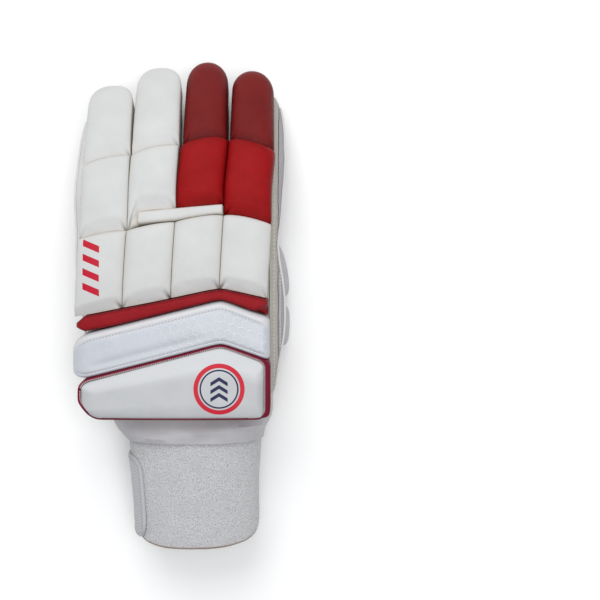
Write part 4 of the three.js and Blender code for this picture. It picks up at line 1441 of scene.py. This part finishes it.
# Loops of yarn: bumps about jittered points of a grid on the cloth.
def yarn_loops(u, v, size):
    cell_u, cell_v = np.floor(u / size), np.floor(v / size)
    nearest = np.full(u.shape, 9.0)
    for du in (-1, 0, 1):
        for dv in (-1, 0, 1):
            a, b = cell_u + du, cell_v + dv
            jitter = np.sin(a * 127.1 + b * 311.7) * 43758.5453
            drift = np.sin(a * 269.5 + b * 183.3) * 43758.5453
            x = (a + 0.5 + 0.42 * (2 * (jitter - np.floor(jitter)) - 1)) * size
            y = (b + 0.5 + 0.42 * (2 * (drift - np.floor(drift)) - 1)) * size
            nearest = np.minimum(nearest, np.hypot(u - x, v - y) / size)
    return np.sqrt(np.clip(1 - (nearest / 0.78) ** 2, 0, 1))


run_around = np.linalg.norm(np.roll(sections, -1, axis=1) - sections, axis=2) / mm
v = np.cumsum(run_around, axis=1)
v = v / v[:, -1:] * v[60, -1]
u = np.concatenate([
    np.zeros((1, around)), np.cumsum(np.linalg.norm(np.diff(sections, axis=0), axis=2), axis=0) / mm
])
loops = 0.5 * yarn_loops(u, v, 1.15) + 0.42 * yarn_loops(u + 31, v + 17, 0.95)
broad = soft_noise(sections, 26, 1.4) + soft_noise(sections, 9, 5.4) * 0.35
outer = (np.arange(len(sections)) < outside_rows + len(hem))[:, None]
tucked = smooth_step(u[:, :1], 3, 9)
inner_calm = np.where(outer, 1.0, 0.35)
raised_by = 0.75 * (loops - 0.62) * inner_calm + broad * 0.6 * outer * tucked
sections = sections + away * raised_by[..., None] * mm
wristband = make_piece("towelling_band", sections.transpose(1, 0, 2), looped=True, crisp=180)
add_attribute(wristband, "loops", np.clip(np.where(outer, loops, 0.5).T, 0, 1))
# A thin brown line is painted along the hem where the cloth turns under.
hem_line = smooth_step(-np.abs(u - u[outside_rows]), -1.5, -0.8).T
add_attribute(wristband, "edge", hem_line)
towel_look, tree, shader = new_look("towelling", 0.95, 0.1)
place = object_place(tree)
patchy = clouds(tree, Vector=place, Scale=75.0, Detail=3.0)
yarn = clouds(tree, Vector=place, Scale=2300.0, Detail=2.0)
pile = add_node(tree, "ShaderNodeTexVoronoi", {"Vector": place, "Scale": 1600.0})
curl = eased(tree, pile.outputs["Distance"], 0.2, 0.9, 1.0, 0.0)
# The hollows between the yarn loops are painted dark grey, as painted shade.
loop_mask = product(tree, eased(tree, attribute(tree, "loops"), 0.0, 1.0, 0.45, 1.0), curl)
colour = mixed(tree, loop_mask, (0.38, 0.38, 0.4), (0.74, 0.74, 0.75))
colour = mixed(tree, eased(tree, patchy, 0.35, 0.7, 0.0, 0.3), colour, (0.48, 0.48, 0.5))
hem_line_share = product(tree, attribute(tree, "edge"), 0.85)
paint(tree, shader, mixed(tree, hem_line_share, colour, (0.25, 0.16, 0.1)))
raised(tree, shader, calc(tree, "ADD", curl, product(tree, yarn, 0.3)), 0.4)
shader.inputs["Sheen Weight"].default_value = 0.25
fit(wristband, towel_look, "towelling", "wristband")

# The sleeve's rim is drawn in over the band's end and sewn down on it.
towel = surface_of(wristband)
band_middle = (band_left + band_right) / 2
points = points_of(sleeve)
rim_middle = hand_point(band_middle, band_length, 0.0)
rim_lean = np.interp(band_length, spine_grid, spine_lean)
from_rim = points - rim_middle
run = from_rim[:, 1] * np.cos(rim_lean) + from_rim[:, 2] * np.sin(rim_lean)
drawn = 1 - smooth_step(run, 0.3 * mm, 7 * mm)
turn = np.arctan2(from_rim[:, 2], from_rim[:, 0])
nearest = np.array([towel.find_nearest(Vector(point))[0] for point in points])
toward = nearest - points
distance = np.linalg.norm(toward, axis=1)
bearings = np.linspace(-np.pi, np.pi, 73)[:-1]
apart = np.abs(np.angle(np.exp(1j * (bearings[:, None] - turn))))
close = (apart < 0.16) & (run < 2 * mm)
gap = np.array([distance[row].min() for row in close])
for _ in range(3):
    gap = (np.roll(gap, 1) + 2 * gap + np.roll(gap, -1)) / 4
gap = np.interp(turn, bearings, gap, period=2 * np.pi)
pull = np.clip(gap - 0.35 * mm, 0, 4 * mm) * drawn
points += toward / np.maximum(distance, 1e-6)[:, None] * pull[:, None]
move_points(sleeve, points)
smooth_faces(sleeve, 50)

# The closure tab
# A patch of coated twill that closes the wristband on the little finger's side. It wraps round
# from just over the top to the underside, and is bound and stitched all round.
tab_thickness = 1.7
tab_start = 2.42
tab_end = 4.35
tab_corner = 0.16
tab_girth = 62
tab_round = np.linspace(0, 1, 90)
tab_turn = tab_start + tab_round * (tab_end - tab_start)


def tab_point(along, turn, out):
    along, turn, out = np.broadcast_arrays(along, turn, out)
    left = band_left + band_side(along, 1) * half_hand - out
    right = band_right - band_side(along, 2) * half_hand + out
    tall = band_half_height * band_side(along, 3) + out
    c, s = np.cos(turn), np.sin(turn)
    across = (left + right) / 2 + (right - left) / 2 * np.sign(c) * np.abs(c) ** (2 / band_power)
    above = tall * np.sign(s) * np.abs(s) ** (2 / band_power)
    return lean_hem(hand_point(across, along, above), along)


def tab_edges(share, inset=0.0):
    round_corner = np.maximum(0, 1 - share / tab_corner)
    draw = (1 - np.sqrt(np.maximum(0, 1 - round_corner**2))) * tab_corner
    return (0.03 + draw) * band_end + inset, (0.79 - draw) * band_end - inset


tab_low, tab_high = tab_edges(tab_round)
lay = np.linspace(0, 1, 61)
along = tab_low[:, None] + (tab_high - tab_low)[:, None] * lay
girth = tab_round[:, None] * tab_girth
inset = np.minimum(np.minimum(along - tab_low[:, None], tab_high[:, None] - along), girth + 0 * along)
rim = np.clip(1 - inset / 1.0, 0, 1)
binding = 0.08 * smooth_step(-np.abs(inset - 1.4), -1.6, -0.6)
face = seam + tab_thickness - 0.9 * (1 - np.sqrt(1 - rim * rim)) + binding
upper = tab_point(along, tab_turn[:, None], face)
lower = tab_point(along[:, ::-1], tab_turn[:, None], seam + 0 * along)
tab = make_piece("closure_patch", np.concatenate([upper, lower], axis=1), crisp=50)
place = np.stack([along * mm, girth * mm + 0 * along, 0 * along], -1)
place = np.concatenate([place, place[:, ::-1]], axis=1)
add_attribute(tab, "flat", place, kind="FLOAT_VECTOR")
# The rim takes a grey edge colour. This is partly its binding and partly painted shade where it rounds
# down to the towelling.
worn_and_shaded = np.concatenate([np.clip(1 - inset / 3, 0, 1), np.ones_like(inset)], axis=1)
add_attribute(tab, "edge", worn_and_shaded)
tab_look, tree, shader = new_look("tab_twill", 0.5, 0.4)
x, y, _ = parts_of(tree, attribute(tree, "flat", "Vector"))
edge = attribute(tree, "edge")
twill_pitch = 0.0021
diagonal = calc(tree, "ADD", x, product(tree, y, 0.55))
ridge = calc(tree, "SINE", product(tree, diagonal, 2 * np.pi / twill_pitch))
plain = eased(tree, edge, 0.02, 0.15, 1.0, 0.0)
ridge = product(tree, eased(tree, ridge, -1, 1), plain)
colour = mixed(tree, ridge, (0.375, 0.38, 0.395), (0.475, 0.48, 0.495))
paint(tree, shader, mixed(tree, eased(tree, edge, 0.6, 0.95), colour, (0.42, 0.425, 0.44)))
raised(tree, shader, ridge, 0.15)
fit(tab, tab_look, "tab", "closure_tab")
tab_surface = surface_of(tab)


def to_band_middle(points):
    middle = hand_point(np.array(band_middle), np.interp(points[:, 1], [-0.157, -0.08], [0, 75]), 0.0)
    aim = middle - points
    aim[:, 1] = 0
    return aim


stitch_low, stitch_high = tab_edges(tab_round[5:], 2.4)
stitch_turn = tab_turn[5:]
stitch_end = np.linspace(stitch_low[0], stitch_high[0], 40)
tab_stitch_rows = [
    ("lower", stitch_low, stitch_turn), ("upper", stitch_high, stitch_turn),
    ("end", stitch_end, stitch_turn[0]),
]
for name, along, turn in tab_stitch_rows:
    sew(
        f"tab_{name}_stitches", tab_point(along, turn, 14), tab_surface, grey_thread, "tab",
        2.2, 1.4, 0.2, to_band_middle,
    )

# The photographer's table
# A plain pale board under soft light from above and from the fingertips' side.
floor_shape = bmesh.new()
bmesh.ops.create_grid(floor_shape, x_segments=1, y_segments=1, size=1.6)
floor_mesh = bpy.data.meshes.new("floor")
floor_shape.to_mesh(floor_mesh)
floor_shape.free()
floor = bpy.data.objects.new("floor", floor_mesh)
floor.location.z = -0.0004
bpy.context.scene.collection.objects.link(floor)
floor_look, tree, shader = new_look("floor_board", 0.9, 0.05)
shader.inputs["Base Color"].default_value = (0.93, 0.93, 0.93, 1)
floor_mesh.materials.append(floor_look)

world = bpy.data.worlds.new("studio")
world.use_nodes = True
world.node_tree.nodes["Background"].inputs["Color"].default_value = (0.97, 0.985, 1.0, 1)
world.node_tree.nodes["Background"].inputs["Strength"].default_value = 0.55
bpy.context.scene.world = world


def add_softbox(name, place, width, power):
    light = bpy.data.lights.new(name, "AREA")
    light.size = width
    light.energy = power
    lamp = bpy.data.objects.new(name, light)
    lamp.location = place
    lamp.rotation_euler = (-Vector(place)).to_track_quat("-Z", "Y").to_euler()
    lamp.visible_camera = False
    bpy.context.scene.collection.objects.link(lamp)


add_softbox("softbox_tips", (-0.15, 0.75, 1.0), 0.8, 7.5)
add_softbox("softbox_top", (0.25, -0.1, 1.3), 0.7, 6.5)

# Straight down, from a little beside the glove, as the photograph was taken.
camera = bpy.data.objects.new("camera", bpy.data.cameras.new("camera"))
camera.location = (0.07526, 0.00144, 0.8)
camera.data.lens = 71.04
camera.data.sensor_width = 36.0
bpy.context.scene.collection.objects.link(camera)
bpy.context.scene.camera = camera
bpy.context.scene.view_settings.view_transform = "Standard"
